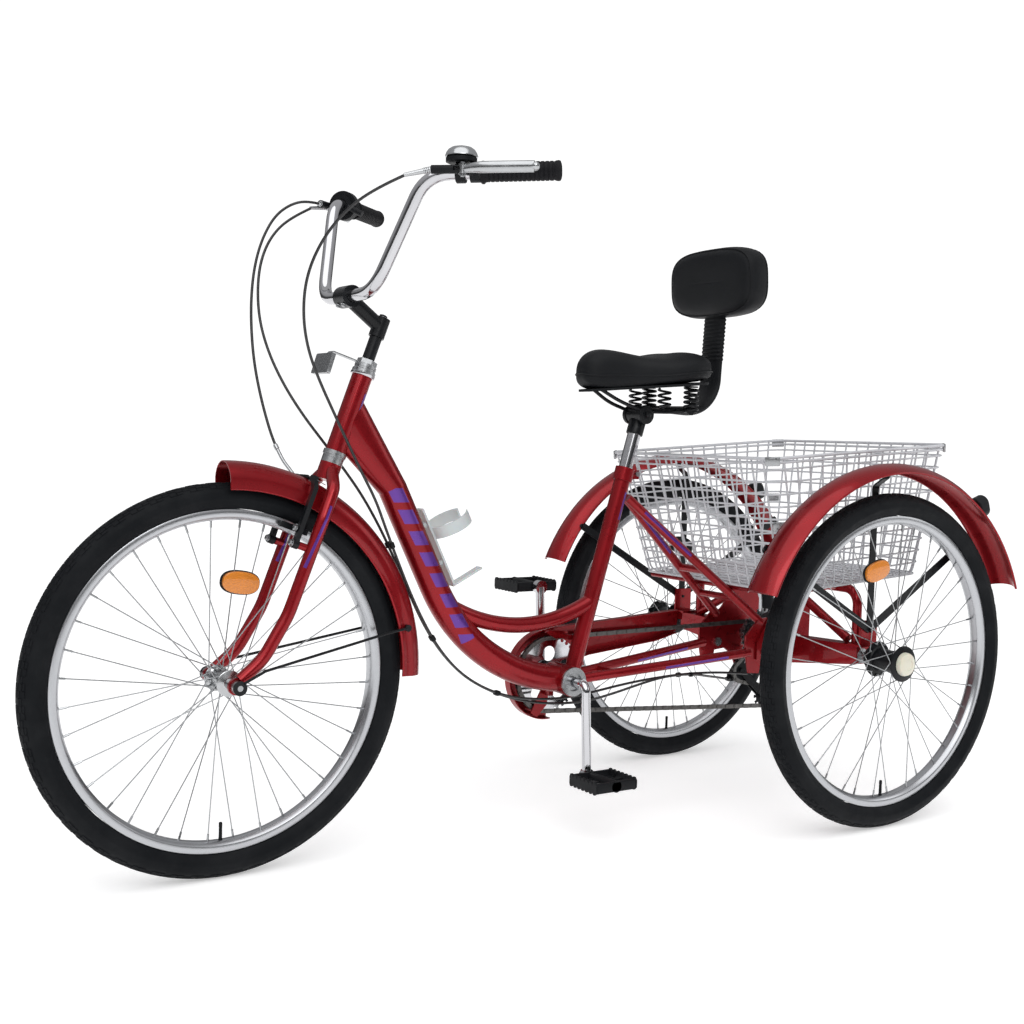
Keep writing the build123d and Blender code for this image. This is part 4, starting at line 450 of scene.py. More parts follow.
def tube(bm, points, radius, sides=10, closed=False, flat=(1.0, 1.0), side=None, radii=None):
    """A round or flattened bar swept along points."""
    route = [Vector(point) for point in points]
    count = len(route)
    tangents = []
    for index in range(count):
        ahead = route[(index + 1) % count] if closed or index < count - 1 else route[index]
        behind = route[index - 1] if closed or index > 0 else route[index]
        tangents.append((ahead - behind).normalized())
    across = Vector(side) if side is not None else (X_AXIS if abs(tangents[0].x) < 0.7 else Z_AXIS)
    ring = bmesh.ops.create_circle(bm, segments=sides, radius=1.0, cap_ends=False)["verts"]
    edges = list({edge for vert in ring for edge in vert.link_edges})
    first_edges = edges
    for index, (point, tangent) in enumerate(zip(route, tangents)):
        across = (across - tangent * across.dot(tangent)).normalized()
        size = radii[index] if radii else radius
        matrix = placed(point, tangent, across) @ Matrix.Diagonal((size * flat[0], size * flat[1], 1.0, 1.0))
        following = None
        if index < count - 1:
            geometry = bmesh.ops.extrude_edge_only(bm, edges=edges)["geom"]
            following = [item for item in geometry if isinstance(item, bmesh.types.BMVert)]
            next_edges = [item for item in geometry if isinstance(item, bmesh.types.BMEdge)]
            ring_set = set(following)
            next_edges = [edge for edge in next_edges if edge.verts[0] in ring_set and edge.verts[1] in ring_set]
        bmesh.ops.transform(bm, matrix=matrix, verts=ring)
        if following:
            ring, edges = following, next_edges
    if closed:
        bmesh.ops.bridge_loops(bm, edges=list(first_edges) + list(edges))
    else:
        bmesh.ops.holes_fill(bm, edges=list(first_edges), sides=0)
        bmesh.ops.holes_fill(bm, edges=list(edges), sides=0)


def lathe(bm, profile, origin, axis, steps=48, closed=False, turn=2 * math.pi, start=0.0, side=None):
    """Spins a profile of (distance along the axis, radius)."""
    matrix = placed(origin, axis, side) @ Matrix.Rotation(start, 4, "Z")
    verts = [bm.verts.new(matrix @ Vector((radius, 0, along))) for along, radius in profile]
    pairs = list(zip(verts, verts[1:])) + ([(verts[-1], verts[0])] if closed else [])
    edges = [bm.edges.new(pair) for pair in pairs]
    full = abs(turn - 2 * math.pi) < 1e-6
    bmesh.ops.spin(bm, geom=verts + edges, cent=Vector(origin), axis=matrix.to_3x3() @ Z_AXIS, dvec=(0, 0, 0),
                   angle=turn, steps=steps, use_merge=full, use_normal_flip=False, use_duplicate=False)


def slab(bm, outline, matrix, thickness, bevel=0.0, segments=2):
    """A flat plate from an outline in the frame's x and y, thick along z."""
    verts = [bm.verts.new(Vector((x, y, 0.0))) for x, y in outline]
    face = bm.faces.new(verts)
    raised = bmesh.ops.extrude_face_region(bm, geom=[face])["geom"]
    tops = [item for item in raised if isinstance(item, bmesh.types.BMVert)]
    bmesh.ops.translate(bm, vec=(0, 0, thickness), verts=tops)
    bmesh.ops.transform(bm, matrix=matrix, verts=verts + tops)
    faces = list({near for vert in verts + tops for near in vert.link_faces})
    bmesh.ops.recalc_face_normals(bm, faces=faces)
    if bevel:
        edges = list({edge for item in faces for edge in item.edges})
        bmesh.ops.bevel(bm, geom=edges, offset=bevel, offset_type="OFFSET", segments=segments, profile=0.5,
                        affect="EDGES", clamp_overlap=True, material=-1)


def bolt(bm, origin, axis, radius, height, sides=6):
    """A domed hexagon head on a washer."""
    lathe(bm, [(0, 0), (0, radius * 1.35), (height * 0.22, radius * 1.35), (height * 0.22, 0)], origin, axis, 20)
    base = Vector(origin) + Vector(axis).normalized() * height * 0.2
    lathe(bm, [(0, 0), (0, radius), (height * 0.7, radius), (height * 0.85, radius * 0.8), (height * 0.85, 0)],
          base, axis, sides)


def coil(origin, axis, radius, pitch, turns, start=0.0, steps=18, side=None):
    """Points of a coil spring."""
    matrix = placed(origin, axis, side)
    made = []
    for index in range(int(turns * steps) + 1):
        angle = start + 2 * math.pi * index / steps
        made.append(matrix @ Vector((radius * math.cos(angle), radius * math.sin(angle), pitch * index / steps)))
    return made


def piece(name, bm, finish, body, stands_for=(), sharp=38.0, recalculate=True):
    """Turns a drawn mesh into a piece that rides on a body."""
    bmesh.ops.remove_doubles(bm, verts=bm.verts, dist=0.004)
    if recalculate:
        bmesh.ops.recalc_face_normals(bm, faces=bm.faces)
    bm.transform(TO_ROW)
    mesh = bpy.data.meshes.new(name)
    bm.to_mesh(mesh)
    bm.free()
    mesh.polygons.foreach_set("use_smooth", [True] * len(mesh.polygons))
    mesh.set_sharp_from_angle(angle=math.radians(sharp))
    mesh.materials.append(finish)
    made = bpy.data.objects.new(name, mesh)
    bpy.context.scene.collection.objects.link(made)
    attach(made, body)
    if stands_for:
        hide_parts(*stands_for)
    return made


def dress(nodes, finish):
    """Gives a CAD node its finish."""
    for name in nodes:
        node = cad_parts[name]
        node.data.materials.clear()
        node.data.materials.append(finish)


def mirrored_point(point, side):
    return Vector((point[0], point[1] * side, point[2]))


# ---------------------------------------------------------------- sizes used by several pieces

WHEELS = {
    "front": (WHEELBASE, 0.0, "front_wheel"),
    "left": (0.0, TRACK_SIDE, "left_wheel"),
    "right": (0.0, -TRACK_SIDE, "right_wheel"),
}
TYRE_CENTRE_RADIUS = 306.0
TYRE_SECTION = 24.0
RIM_SEAT = 286.0
SPOKE_COUNT = 36
HANDED = {"left": 1, "right": -1}

GRIP_START = Vector((973.0, 172.0, 1170.0))
GRIP_ALONG = (Vector((813.0, 315.0, 1175.0)) - GRIP_START).normalized()
GRIP_AHEAD = Vector((GRIP_ALONG.y, -GRIP_ALONG.x, 0))
BAR_RADIUS = 11.1

LEFT_BRAKE_CABLE = [
    (1020, 190, 1160), (1060, 158, 1137), (1097, 126, 1100), (1125, 102, 1052), (1141, 84, 996),
    (1140, 72, 936), (1125, 62, 880), (1099, 54, 830), (1069, 47, 780), (1038, 41, 728), (1008, 36, 678),
    (978, 31, 632), (951, 20, 580), (922, 14, 521), (893, 9, 463), (862, 9, 405), (826, 9, 352),
    (782, 9, 308), (730, 9, 277), (672, 9, 256), (615, 8, 247), (560, 6, 243), (505, 5, 245),
    (450, 5, 252), (395, 6, 259), (340, 7, 264), (285, 8, 267), (230, 8, 268), (175, 8, 266),
    (120, 9, 262), (66, 9.6, 256),
]
SHIFT_CABLE = [
    (1000, -212, 1161), (1043, -210, 1138), (1083, -199, 1101), (1110, -182, 1054), (1125, -160, 1000),
    (1130, -136, 940), (1123, -108, 882), (1106, -78, 826), (1080, -52, 774), (1047, -36, 728),
    (1012, -29, 684), (976, -24, 636), (944, -14, 578), (915, -10, 520), (886, -9, 461), (855, -9, 403),
    (818, -9, 350), (773, -9, 306), (721, -9, 274), (664, -7, 251), (607, 0, 238), (552, 10, 233),
    (497, 24, 237), (443, 36, 250), (388, 45, 265), (332, 50, 276), (276, 46, 276), (220, 26, 268),
    (168, -2, 256), (116, -32, 245), (66, -54, 234),
]
FRONT_BRAKE_CABLE = [
    (986, -206, 1169.5), (1013, -205, 1172), (1042, -212, 1163), (1073, -212, 1138), (1099, -206, 1093),
    (1117, -195, 1042), (1128, -181, 984), (1133, -165, 924), (1134, -146, 864), (1130, -124, 806),
    (1123, -101, 752), (1117, -86, 722), (1108, -70, 694), (1101, -57.5, 680), (1096.8, -45.4, 668.6),
]
CABLES = {
    "rear_brake_cable": (LEFT_BRAKE_CABLE, "frame", 1.76),
    "shift_cable": (SHIFT_CABLE, "frame", 1.803),
    "front_brake_cable": (FRONT_BRAKE_CABLE, "steering", 0.617),
}
CABLE_DIAMETER = 0.005


def in_row(point):
    return TO_ROW @ Vector(point)


def on_grip(along, forward, up, side=1):
    return mirrored_point(GRIP_START + GRIP_ALONG * along + GRIP_AHEAD * forward + Z_AXIS * up, side)


def on_wheel(centre_x, radius, angle_deg, y=0.0):
    angle = math.radians(angle_deg)
    return Vector((centre_x + radius * math.cos(angle), y, AXLE_HEIGHT + radius * math.sin(angle)))


# ---------------------------------------------------------------- stage, camera and cables

def make_camera():
    scene = bpy.context.scene
    data = bpy.data.cameras.new("camera")
    data.lens = 46.30
    data.sensor_width = 36.0
    camera = bpy.data.objects.new("camera", data)
    scene.collection.objects.link(camera)
    forward = Vector((-0.54733, -0.83497, -0.05702)).normalized()
    level = forward.cross(Z_AXIS).normalized()
    upright = level.cross(forward)
    roll = 0.0291
    right = level * math.cos(roll) + upright * math.sin(roll)
    top = upright * math.cos(roll) - level * math.sin(roll)
    matrix = Matrix((right, top, -forward)).transposed().to_4x4()
    matrix.translation = Vector((2.0310 + SHIFT, 2.0697, 0.74795))
    camera.matrix_world = matrix
    scene.camera = camera


def area_light(name, place, aim, size, power, tint=(1.0, 1.0, 1.0)):
    data = bpy.data.lights.new(name, "AREA")
    data.shape = "RECTANGLE"
    data.size, data.size_y = size
    data.energy = power
    data.color = tint
    light = bpy.data.objects.new(name, data)
    bpy.context.scene.collection.objects.link(light)
    light.matrix_world = placed(place, Vector(place) - Vector(aim), X_AXIS)


def make_world(strength):
    """White to the eye, and for reflections bright above, dim along the horizon."""
    world = bpy.data.worlds.new("studio")
    world.use_nodes = True
    nodes, links = world.node_tree.nodes, world.node_tree.links
    place = nodes.new("ShaderNodeTexCoord")
    parts = nodes.new("ShaderNodeSeparateXYZ")
    ramp = nodes.new("ShaderNodeValToRGB")
    for position, shade in ((0.44, 0.75), (0.50, 0.10), (0.60, 0.16), (0.68, 0.75), (0.86, 1.0)):
        element = ramp.color_ramp.elements.new(position)
        element.color = (shade, shade, shade * 1.02, 1.0)
    lift = nodes.new("ShaderNodeMath")
    lift.operation = "MULTIPLY_ADD"
    lift.inputs[1].default_value = lift.inputs[2].default_value = 0.5
    seen = nodes.new("ShaderNodeLightPath")
    mixed = nodes.new("ShaderNodeMix")
    mixed.data_type = "RGBA"
    mixed.inputs[7].default_value = (2.2, 2.2, 2.2, 1.0)
    links.new(place.outputs["Generated"], parts.inputs[0])
    links.new(parts.outputs[2], lift.inputs[0])
    links.new(lift.outputs[0], ramp.inputs[0])
    links.new(seen.outputs["Is Camera Ray"], mixed.inputs[0])
    links.new(ramp.outputs[0], mixed.inputs[6])
    links.new(mixed.outputs[2], nodes["Background"].inputs["Color"])
    nodes["Background"].inputs["Strength"].default_value = strength
    bpy.context.scene.world = world


def make_stage(settings):
    scene = bpy.context.scene
    scene.view_settings.view_transform = "Standard"
    make_world(settings.sky)
    bm = bmesh.new()
    bmesh.ops.create_grid(bm, x_segments=2, y_segments=2, size=60.0)
    mesh = bpy.data.meshes.new("studio_floor")
    bm.to_mesh(mesh)
    bm.free()
    mesh.materials.append(studio_floor().material)
    floor = bpy.data.objects.new("studio_floor", mesh)
    scene.collection.objects.link(floor)
    data = bpy.data.lights.new("sky_light", "SUN")
    data.energy = settings.overhead
    data.angle = math.radians(75.0)
    light = bpy.data.objects.new("sky_light", data)
    scene.collection.objects.link(light)
    light.matrix_world = placed((0, 0, 3), (0.35, 0.45, 1.0), X_AXIS)
    area_light("key_light", (1.2, 2.6, 2.4), (0.1, 0.0, 0.5), (1.6, 1.2), settings.key)
    area_light("rim_light", (-2.6, 1.4, 1.6), (-0.3, 0.0, 0.5), (1.0, 1.6), settings.key * 0.5)


def cable_curve(name, route):
    curve = bpy.data.curves.new(name, "CURVE")
    curve.dimensions = "3D"
    spline = curve.splines.new("NURBS")
    spline.points.add(len(route) - 1)
    for point, place in zip(spline.points, route):
        point.co = (*in_row(place), 1.0)
    spline.order_u = 3
    spline.use_endpoint_u = True
    spline.resolution_u = 8
    return curve


def as_mesh(curve, name):
    """The curve's mesh as Blender makes it, with nothing of the curve left behind."""
    holder = bpy.data.objects.new(name, curve)
    bpy.context.scene.collection.objects.link(holder)
    bpy.context.view_layer.update()
    mesh = bpy.data.meshes.new_from_object(holder.evaluated_get(bpy.context.evaluated_depsgraph_get()))
    bpy.data.objects.remove(holder)
    return mesh


def make_cable(name):
    """Cables from the bar to the frame stay where they are laid; the front brake's turns with the steering."""
    route, body, length = CABLES[name]
    curve = cable_curve(name + "_line", route)
    path = [vert.co.copy() for vert in as_mesh(curve, name + "_line").vertices]
    curve.bevel_depth = CABLE_DIAMETER / 2
    curve.bevel_resolution = 4
    curve.use_fill_caps = True
    mesh = as_mesh(curve, name + "_skin")
    mesh.polygons.foreach_set("use_smooth", [True] * len(mesh.polygons))
    mesh.materials.clear()
    mesh.materials.append(finish_of(cable_jacket))
    made = bpy.data.objects.new(name + "_housing", mesh)
    bpy.context.scene.collection.objects.link(made)
    if body == "frame":
        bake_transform(made)
    else:
        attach(made, body)
    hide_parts(name)


def make_cable_ends():
    """Barrel adjusters at the levers, the noodle and boot at the rim brake, and guides on the frame."""
    starts = {
        "left_brake_adjuster": (on_grip(16, 34, 0), LEFT_BRAKE_CABLE),
        "right_brake_adjuster": (on_grip(16, 34, 0, -1), FRONT_BRAKE_CABLE),
        "shift_adjuster": (on_grip(48, 24, -3, -1), SHIFT_CABLE),
    }
    for name, (socket, route) in starts.items():
        end = Vector(route[0])
        heading = end - socket
        reach = heading.length
        bm = bmesh.new()
        profile = [(-6, 0), (-6, 5.6), (0, 5.6), (1, 5.0), (1, 3.6)]
        knurls = 4 if reach > 20 else 1
        for index in range(knurls):
            start = 2 + index * 3.0
            profile += [(start, 5.2), (start + 1.8, 5.2), (start + 2.2, 4.4)]
        profile += [(reach * 0.55 + 2, 4.0), (reach, 3.3), (reach + 3, 3.3), (reach + 3, 0)]
        lathe(bm, profile, socket, heading, 20)
        piece(name, bm, finish_of(cast_alloy), "steering")
    bm = bmesh.new()
    bend = [FRONT_BRAKE_CABLE[-4], FRONT_BRAKE_CABLE[-3], FRONT_BRAKE_CABLE[-2], FRONT_BRAKE_CABLE[-1]]
    tube(bm, rounded(bend, 14, 6), 3.3, sides=14)
    lathe(bm, [(0, 0), (0, 4.4), (9, 4.4), (10, 3.2), (10, 0)], bend[0], Vector(bend[1]) - Vector(bend[0]), 16)
    piece("brake_noodle", bm, finish_of(cast_alloy), "steering")
    right, left = steered(36, -24, -60), steered(36, 24, -60)
    bm = bmesh.new()
    profile = [(0, 0), (0, 3.0)]
    for index in range(7):
        profile += [(3 + index * 4.6, 4.8), (5.2 + index * 4.6, 3.4)]
    profile += [(38, 2.4), (38, 0)]
    lathe(bm, profile, right, left - right, 20)
    piece("brake_boot", bm, finish_of(grip_rubber), "steering")
    bm = bmesh.new()
    tube(bm, [right, left, left + (left - right) * 0.5 - STEER_UP * 3, left + (left - right) * 1.3 - STEER_UP * 10],
         0.8, sides=6)
    piece("brake_wire_end", bm, finish_of(plated_steel), "steering")
    bm = bmesh.new()
    for route in (LEFT_BRAKE_CABLE, SHIFT_CABLE):
        for index in (12, 15, 18, 26):
            here, there = Vector(route[index]), Vector(route[index + 1])
            middle, heading = here.lerp(there, 0.5), (there - here).normalized()
            lathe(bm, [(-5, 2.6), (-5, 4.4), (-4, 4.9), (4, 4.9), (5, 4.4), (5, 2.6)], middle, heading, 20,
                  closed=True)
    piece("cable_guides", bm, finish_of(moulded_black), "frame")


# ---------------------------------------------------------------- wheels

def tread_pick(face_count, step, column, columns):
    """Chevron blocks: two of every three steps carry rubber, later towards the shoulders."""
    lag = abs(column - (columns - 1) / 2)
    return (step + int(lag)) % 3 != 0


def make_tyre(place, pitches):
    centre_x, centre_y, body = WHEELS[place]
    bm = bmesh.new()
    tread_angles = [-50, -38, -26, -14, -4, 4, 14, 26, 38, 50]
    side_angles = [62, 75, 88, 94, 98, 102, 115, 130, 142]
    angles = [-angle for angle in reversed(side_angles)] + tread_angles + side_angles
    base = TYRE_SECTION - 1.3
    profile = []
    for angle in angles:
        size = TYRE_SECTION + (0.5 if abs(angle) in (94, 98) else 0.0) if abs(angle) > 55 else base
        turned = math.radians(angle)
        profile.append((size * math.sin(turned), TYRE_CENTRE_RADIUS + size * math.cos(turned)))
    lathe(bm, profile, (centre_x, centre_y, AXLE_HEIGHT), Y_AXIS, pitches, closed=True)
    bmesh.ops.remove_doubles(bm, verts=bm.verts, dist=0.004)
    bmesh.ops.recalc_face_normals(bm, faces=bm.faces)
    blocks = []
    hub = Vector((centre_x, centre_y, AXLE_HEIGHT))
    for face in bm.faces:
        offset = face.calc_center_median() - hub
        radial = math.hypot(offset.x, offset.z) - TYRE_CENTRE_RADIUS
        lean = math.degrees(math.atan2(offset.y, radial))
        if abs(lean) > 50 or abs(lean) < 4:
            continue
        step = int(round(math.degrees(math.atan2(offset.z, offset.x)) * pitches / 360.0 - 0.5))
        column = sum(1 for edge in tread_angles if edge < lean)
        if (step + abs(column - 5)) % 3:
            blocks.append(face)
    bmesh.ops.inset_individual(bm, faces=blocks, thickness=0.9, depth=1.3)
    piece(place + "_tyre_tread", bm, finish_of(tyre_rubber), body, [place + "_tyre"], sharp=30)


def make_rim(place):
    centre_x, centre_y, body = WHEELS[place]
    bm = bmesh.new()
    profile = [(-15, 285.2), (-14.4, 286), (-13.4, 286), (-13, 285.2), (-13, 277), (-6, 272), (6, 272),
               (13, 277), (13, 285.2), (13.4, 286), (14.4, 286), (15, 285.2), (15, 274.8), (14.2, 273.2),
               (7, 268.4), (5.5, 268), (-5.5, 268), (-7, 268.4), (-14.2, 273.2), (-15, 274.8)]
    lathe(bm, profile, (centre_x, centre_y, AXLE_HEIGHT), Y_AXIS, 144, closed=True)
    rim = piece(place + "_rim_hoop", bm, finish_of(turned_alloy, (centre_x, centre_y)), body,
                [place + "_rim"], sharp=50)
    bm = bmesh.new()
    foot = on_wheel(centre_x, 268.5, 270, centre_y)
    lathe(bm, [(0, 0), (0, 3.6), (2, 3.6), (3, 3.0), (21, 2.8), (22, 2.2), (22, 3.0), (29, 3.0), (30, 2.2), (30, 0)],
          foot, Z_AXIS, 20)
    piece(place + "_valve", bm, finish_of(moulded_black), body)
    return rim


def spoke_ends(place):
    """Each spoke's root at its flange and its tip at the rim."""
    centre_x, centre_y, _ = WHEELS[place]
    flanges = (-30.0, 30.0) if place == "front" else (306.0, 370.0)
    sign = -1 if place == "right" else 1
    wheel_y = abs(centre_y)
    root_radius = 18.0 if place == "front" else 31.0
    for index in range(SPOKE_COUNT):
        flange = flanges[index % 2]
        trailing = (index // 2) % 2
        inward = math.copysign(1, wheel_y - flange)
        tip_angle = 360.0 / SPOKE_COUNT * (index + 0.5)
        root_angle = tip_angle + (50.0 if trailing else -50.0)
        root = on_wheel(centre_x, root_radius, root_angle, sign * (flange + inward * (3.1 + 2.2 * trailing)))
        tip = on_wheel(centre_x, 267.6, tip_angle, sign * (wheel_y - inward * (5.2 - 2.2 * trailing)))
        yield root, tip, sign * (-inward)


def make_nipples(place):
    centre_x, centre_y, body = WHEELS[place]
    bm = bmesh.new()
    for root, tip, outward in spoke_ends(place):
        heading = (root - tip).normalized()
        tube(bm, [tip - heading * 1.0, tip + heading * 12.0], 1.9, sides=6)
        bmesh.ops.create_icosphere(bm, subdivisions=1, radius=2.3, matrix=Matrix.Translation(root))
    piece(place + "_nipples", bm, finish_of(plated_steel), body)


def make_front_hub():
    bm = bmesh.new()
    half = [(32, 5.2), (32, 11), (31, 12.5), (30.5, 20.5), (29.5, 22), (28, 22), (27, 20.5), (26.4, 16.5),
            (24, 14.2), (18, 13), (0, 12.4)]
    profile = [(-along, radius) for along, radius in half] + list(reversed(half[:-1]))
    lathe(bm, profile, (WHEELBASE, 0, AXLE_HEIGHT), Y_AXIS, 48, closed=True)
    piece("front_hub_shell", bm, finish_of(cast_alloy), "front_wheel", ["front_hub"])


def make_rear_hub(place):
    _, _, body = WHEELS[place]
    sign = HANDED[place]
    axis = Y_AXIS * sign
    bm = bmesh.new()
    shell = [(288, 8.7), (288, 20.5), (289.5, 22), (303, 22), (303.6, 24), (304, 33.5), (305, 35), (307, 35),
             (308, 33.5), (308.6, 25), (311, 22.5), (328, 21.5), (365, 22.5), (367.4, 25), (368, 33.5),
             (369, 35), (371, 35), (372, 33.5), (372, 8.7)]
    lathe(bm, shell, (0, 0, AXLE_HEIGHT), axis, 48, closed=True)
    piece(place + "_hub_shell", bm, finish_of(satin_black), body, [place + "_hub"])
    bm = bmesh.new()
    cap = [(372.1, 0), (372.1, 22.4), (372.6, 23), (377, 23), (381.5, 21), (383.4, 17), (383.9, 11.5),
           (382.6, 10.6), (382.4, 0)]
    lathe(bm, cap, (0, 0, AXLE_HEIGHT), axis, 48)
    piece(place + "_hub_cap", bm, finish_of(cream_plastic), body)


REFLECTOR_PLACES = {"front": (1215.0, 15.0, 494.0), "left": (54.0, 345.0, 510.0), "right": (-36.0, -345.0, 500.0)}


def make_wheel_reflector(place):
    """An oval amber lens on a black backing, set between two spokes."""
    centre_x, centre_y, body = WHEELS[place]
    middle = Vector(REFLECTOR_PLACES[place])
    side = math.copysign(1, middle.y - centre_y)
    radial = Vector((middle.x - centre_x, 0, middle.z - AXLE_HEIGHT)).normalized()
    facing = Y_AXIS * side
    across = facing.cross(radial)
    for name, size, thick, finish in (("lens", 1.0, 9.0, finish_of(lens, "amber")),
                                      ("backing", 1.1, 4.0, finish_of(moulded_black))):
        bm = bmesh.new()
        outline = []
        for step in range(40):
            angle = 2 * math.pi * step / 40
            c, s = math.cos(angle), math.sin(angle)
            outline.append((32 * size * math.copysign(abs(c) ** 0.8, c), 18.5 * size * math.copysign(abs(s) ** 0.8, s)))
        lift = -6.5 if name == "lens" else -8.0
        slab(bm, outline, placed(middle + facing * lift, facing, across), thick, bevel=1.6, segments=3)
        piece(f"{place}_wheel_reflector_{name}", bm, finish, body)


# ---------------------------------------------------------------- fenders

def fender_profile(half_width, crown, edge, y):
    """Closed outline of the rolled sheet, with a rolled bead along each edge."""
    height = crown - edge
    arc = (half_width ** 2 + height ** 2) / (2 * height)
    middle = crown - arc
    limit = math.asin(half_width / arc)
    outer, inner = [], []
    for step in range(-9, 10):
        angle = limit * step / 9
        outer.append((y + arc * math.sin(angle), middle + arc * math.cos(angle)))
        inner.append((y + (arc - 1.8) * math.sin(angle), middle + (arc - 1.8) * math.cos(angle)))
    beads = {}
    for side in (-1, 1):
        centre = (y + side * (half_width - 0.6), edge + 0.6)
        beads[side] = [(centre[0] + side * 2.4 * math.sin(turn), centre[1] + 2.4 * math.cos(turn))
                       for turn in (math.radians(value) for value in (20, 65, 110, 155, 200, 245))]
    return outer + beads[1] + list(reversed(inner)) + list(reversed(beads[-1]))


def make_tail_lenses():
    """A red lens let into the back of each reflector housing."""
    heading = Vector((math.cos(math.radians(161)), 0, math.sin(math.radians(161))))
    bm = bmesh.new()
    for side in (-1, 1):
        outline = []
        for step in range(32):
            angle = 2 * math.pi * step / 32
            outline.append((12.5 * math.cos(angle), 12.5 * math.sin(angle) + math.copysign(5.5, math.sin(angle))))
        middle = on_wheel(0, 399, 131, TRACK_SIDE * side) + heading * 11.5
        slab(bm, outline, placed(middle, heading, Y_AXIS), 4.5, bevel=1.4, segments=2)
    piece("tail_lenses", bm, finish_of(lens, "red"), "frame")


def make_fender(name, centre_x, y, section, angles, body, stands_for):
    bm = bmesh.new()
    profile = [(-along, radius) for along, radius in fender_profile(*section, y)]
    first, last = (math.radians(value) for value in angles)
    steps = int((angles[1] - angles[0]) / 1.6)
    lathe(bm, profile, (centre_x, 0, AXLE_HEIGHT), -Y_AXIS, steps, closed=True, turn=last - first, start=first,
          side=X_AXIS)
    bmesh.ops.holes_fill(bm, edges=[edge for edge in bm.edges if edge.is_boundary], sides=0)
    made = piece(name, bm, finish_of(candy_paint), body, stands_for, sharp=50)
    return made


# ---------------------------------------------------------------- basket

TILT = math.radians(4.2)
BASKET_UP = Vector((math.sin(TILT), 0, math.cos(TILT)))
BASKET_AHEAD = Vector((math.cos(TILT), 0, -math.sin(TILT)))
BASKET_FLOOR = Vector((-20.0, 0.0, 470.0))
BASKET_DEPTH = 272.0
FLOOR_HALF = (190.0, 225.0)
RIM_HALF = (256.0, 252.0)
BASKET_CORNER = 30.0
BASKET_WIRE = 2.0


def basket_half(height):
    share = height / BASKET_DEPTH
    return [low + (high - low) * share for low, high in zip(FLOOR_HALF, RIM_HALF)]


def in_basket(ahead, aside, height):
    return BASKET_FLOOR + BASKET_AHEAD * ahead + Y_AXIS * aside + BASKET_UP * height


def basket_ring(height, inset=0.0):
    half_x, half_y = (value - inset for value in basket_half(height))
    made = []
    for quarter in range(4):
        sign_x = 1 if quarter in (0, 3) else -1
        sign_y = 1 if quarter in (0, 1) else -1
        for step in range(6):
            angle = math.radians(90 * quarter + 18 * step)
            made.append(in_basket(sign_x * (half_x - BASKET_CORNER) + BASKET_CORNER * math.cos(angle),
                                  sign_y * (half_y - BASKET_CORNER) + BASKET_CORNER * math.sin(angle), height))
    return made


def make_basket(settings):
    bm = bmesh.new()
    levels = settings.levels
    for level in range(levels):
        height = 2.0 + (BASKET_DEPTH - 26.0) * level / (levels - 1)
        tube(bm, basket_ring(height), BASKET_WIRE, sides=8, closed=True)
    for height, size in ((BASKET_DEPTH - 2.5, 3.2), (BASKET_DEPTH - 11.0, 2.6)):
        tube(bm, basket_ring(height, -0.5), size, sides=8, closed=True)
    top = BASKET_DEPTH - 3.0
    half_low, half_top = basket_half(0), basket_half(top)
    rows = settings.wires
    for index in range(rows):
        share = (2 * index / (rows - 1) - 1) * 0.90
        low, high = share * half_low[1], share * half_top[1]
        tube(bm, rounded([in_basket(-half_top[0], high, top), in_basket(-half_low[0], low, 0),
                          in_basket(half_low[0], low, 0), in_basket(half_top[0], high, top)], 14, 4), BASKET_WIRE, sides=8)
    columns = rows - 1
    for index in range(columns):
        share = (2 * index / (columns - 1) - 1) * 0.88
        low, high = share * half_low[0], share * half_top[0]
        tube(bm, rounded([in_basket(high, -half_top[1], top), in_basket(low, -half_low[1], 2.6),
                          in_basket(low, half_low[1], 2.6), in_basket(high, half_top[1], top)], 14, 4), BASKET_WIRE, sides=8)
    for index in range(1, 2 * rows - 2, 2):
        aside = (2 * index / (2 * rows - 2) - 1) * 0.90 * half_low[1]
        tube(bm, [in_basket(-half_low[0] + 3, aside, 0.2), in_basket(half_low[0] - 3, aside, 0.2)], 1.4, sides=6)
    piece("basket_wires", bm, finish_of(white_coating), "frame", ["basket"], sharp=60)
    bm = bmesh.new()
    for height in (BASKET_DEPTH - 8.0, BASKET_DEPTH * 0.5):
        half_x, half_y = basket_half(height)
        for sign_x in (-1, 1):
            for sign_y in (-1, 1):
                diagonal = Vector((sign_x, sign_y, 0)).normalized()
                corner = in_basket(sign_x * (half_x - BASKET_CORNER) + diagonal.x * (BASKET_CORNER + 2.6),
                                   sign_y * (half_y - BASKET_CORNER) + diagonal.y * (BASKET_CORNER + 2.6), height)
                outward = BASKET_AHEAD * diagonal.x + Y_AXIS * diagonal.y
                outline = [(-14, -9), (14, -9), (14, 9), (-14, 9)]
                slab(bm, outline, placed(corner - outward * 2.4, outward, outward.cross(BASKET_UP)), 4.5, bevel=1.2)
    piece("basket_corner_clips", bm, finish_of(plated_steel), "frame")


# ---------------------------------------------------------------- saddle and backrest

def loft(bm, stations, sides, place):
    """A closed skin: place(station, angle) gives each point, and the two end rings are filled."""
    ring = bmesh.ops.create_circle(bm, segments=sides, radius=1.0, cap_ends=False)["verts"]
    edges = list({edge for vert in ring for edge in vert.link_edges})
    first = list(edges)
    for station in range(stations):
        following = None
        if station < stations - 1:
            made = bmesh.ops.extrude_edge_only(bm, edges=edges)["geom"]
            following = [item for item in made if isinstance(item, bmesh.types.BMVert)]
            members = set(following)
            edges = [item for item in made if isinstance(item, bmesh.types.BMEdge)
                     and item.verts[0] in members and item.verts[1] in members]
        for vert in ring:
            vert.co = place(station, math.atan2(vert.co.y, vert.co.x))
        ring = following or ring
    bmesh.ops.holes_fill(bm, edges=first, sides=0)
    bmesh.ops.holes_fill(bm, edges=edges, sides=0)


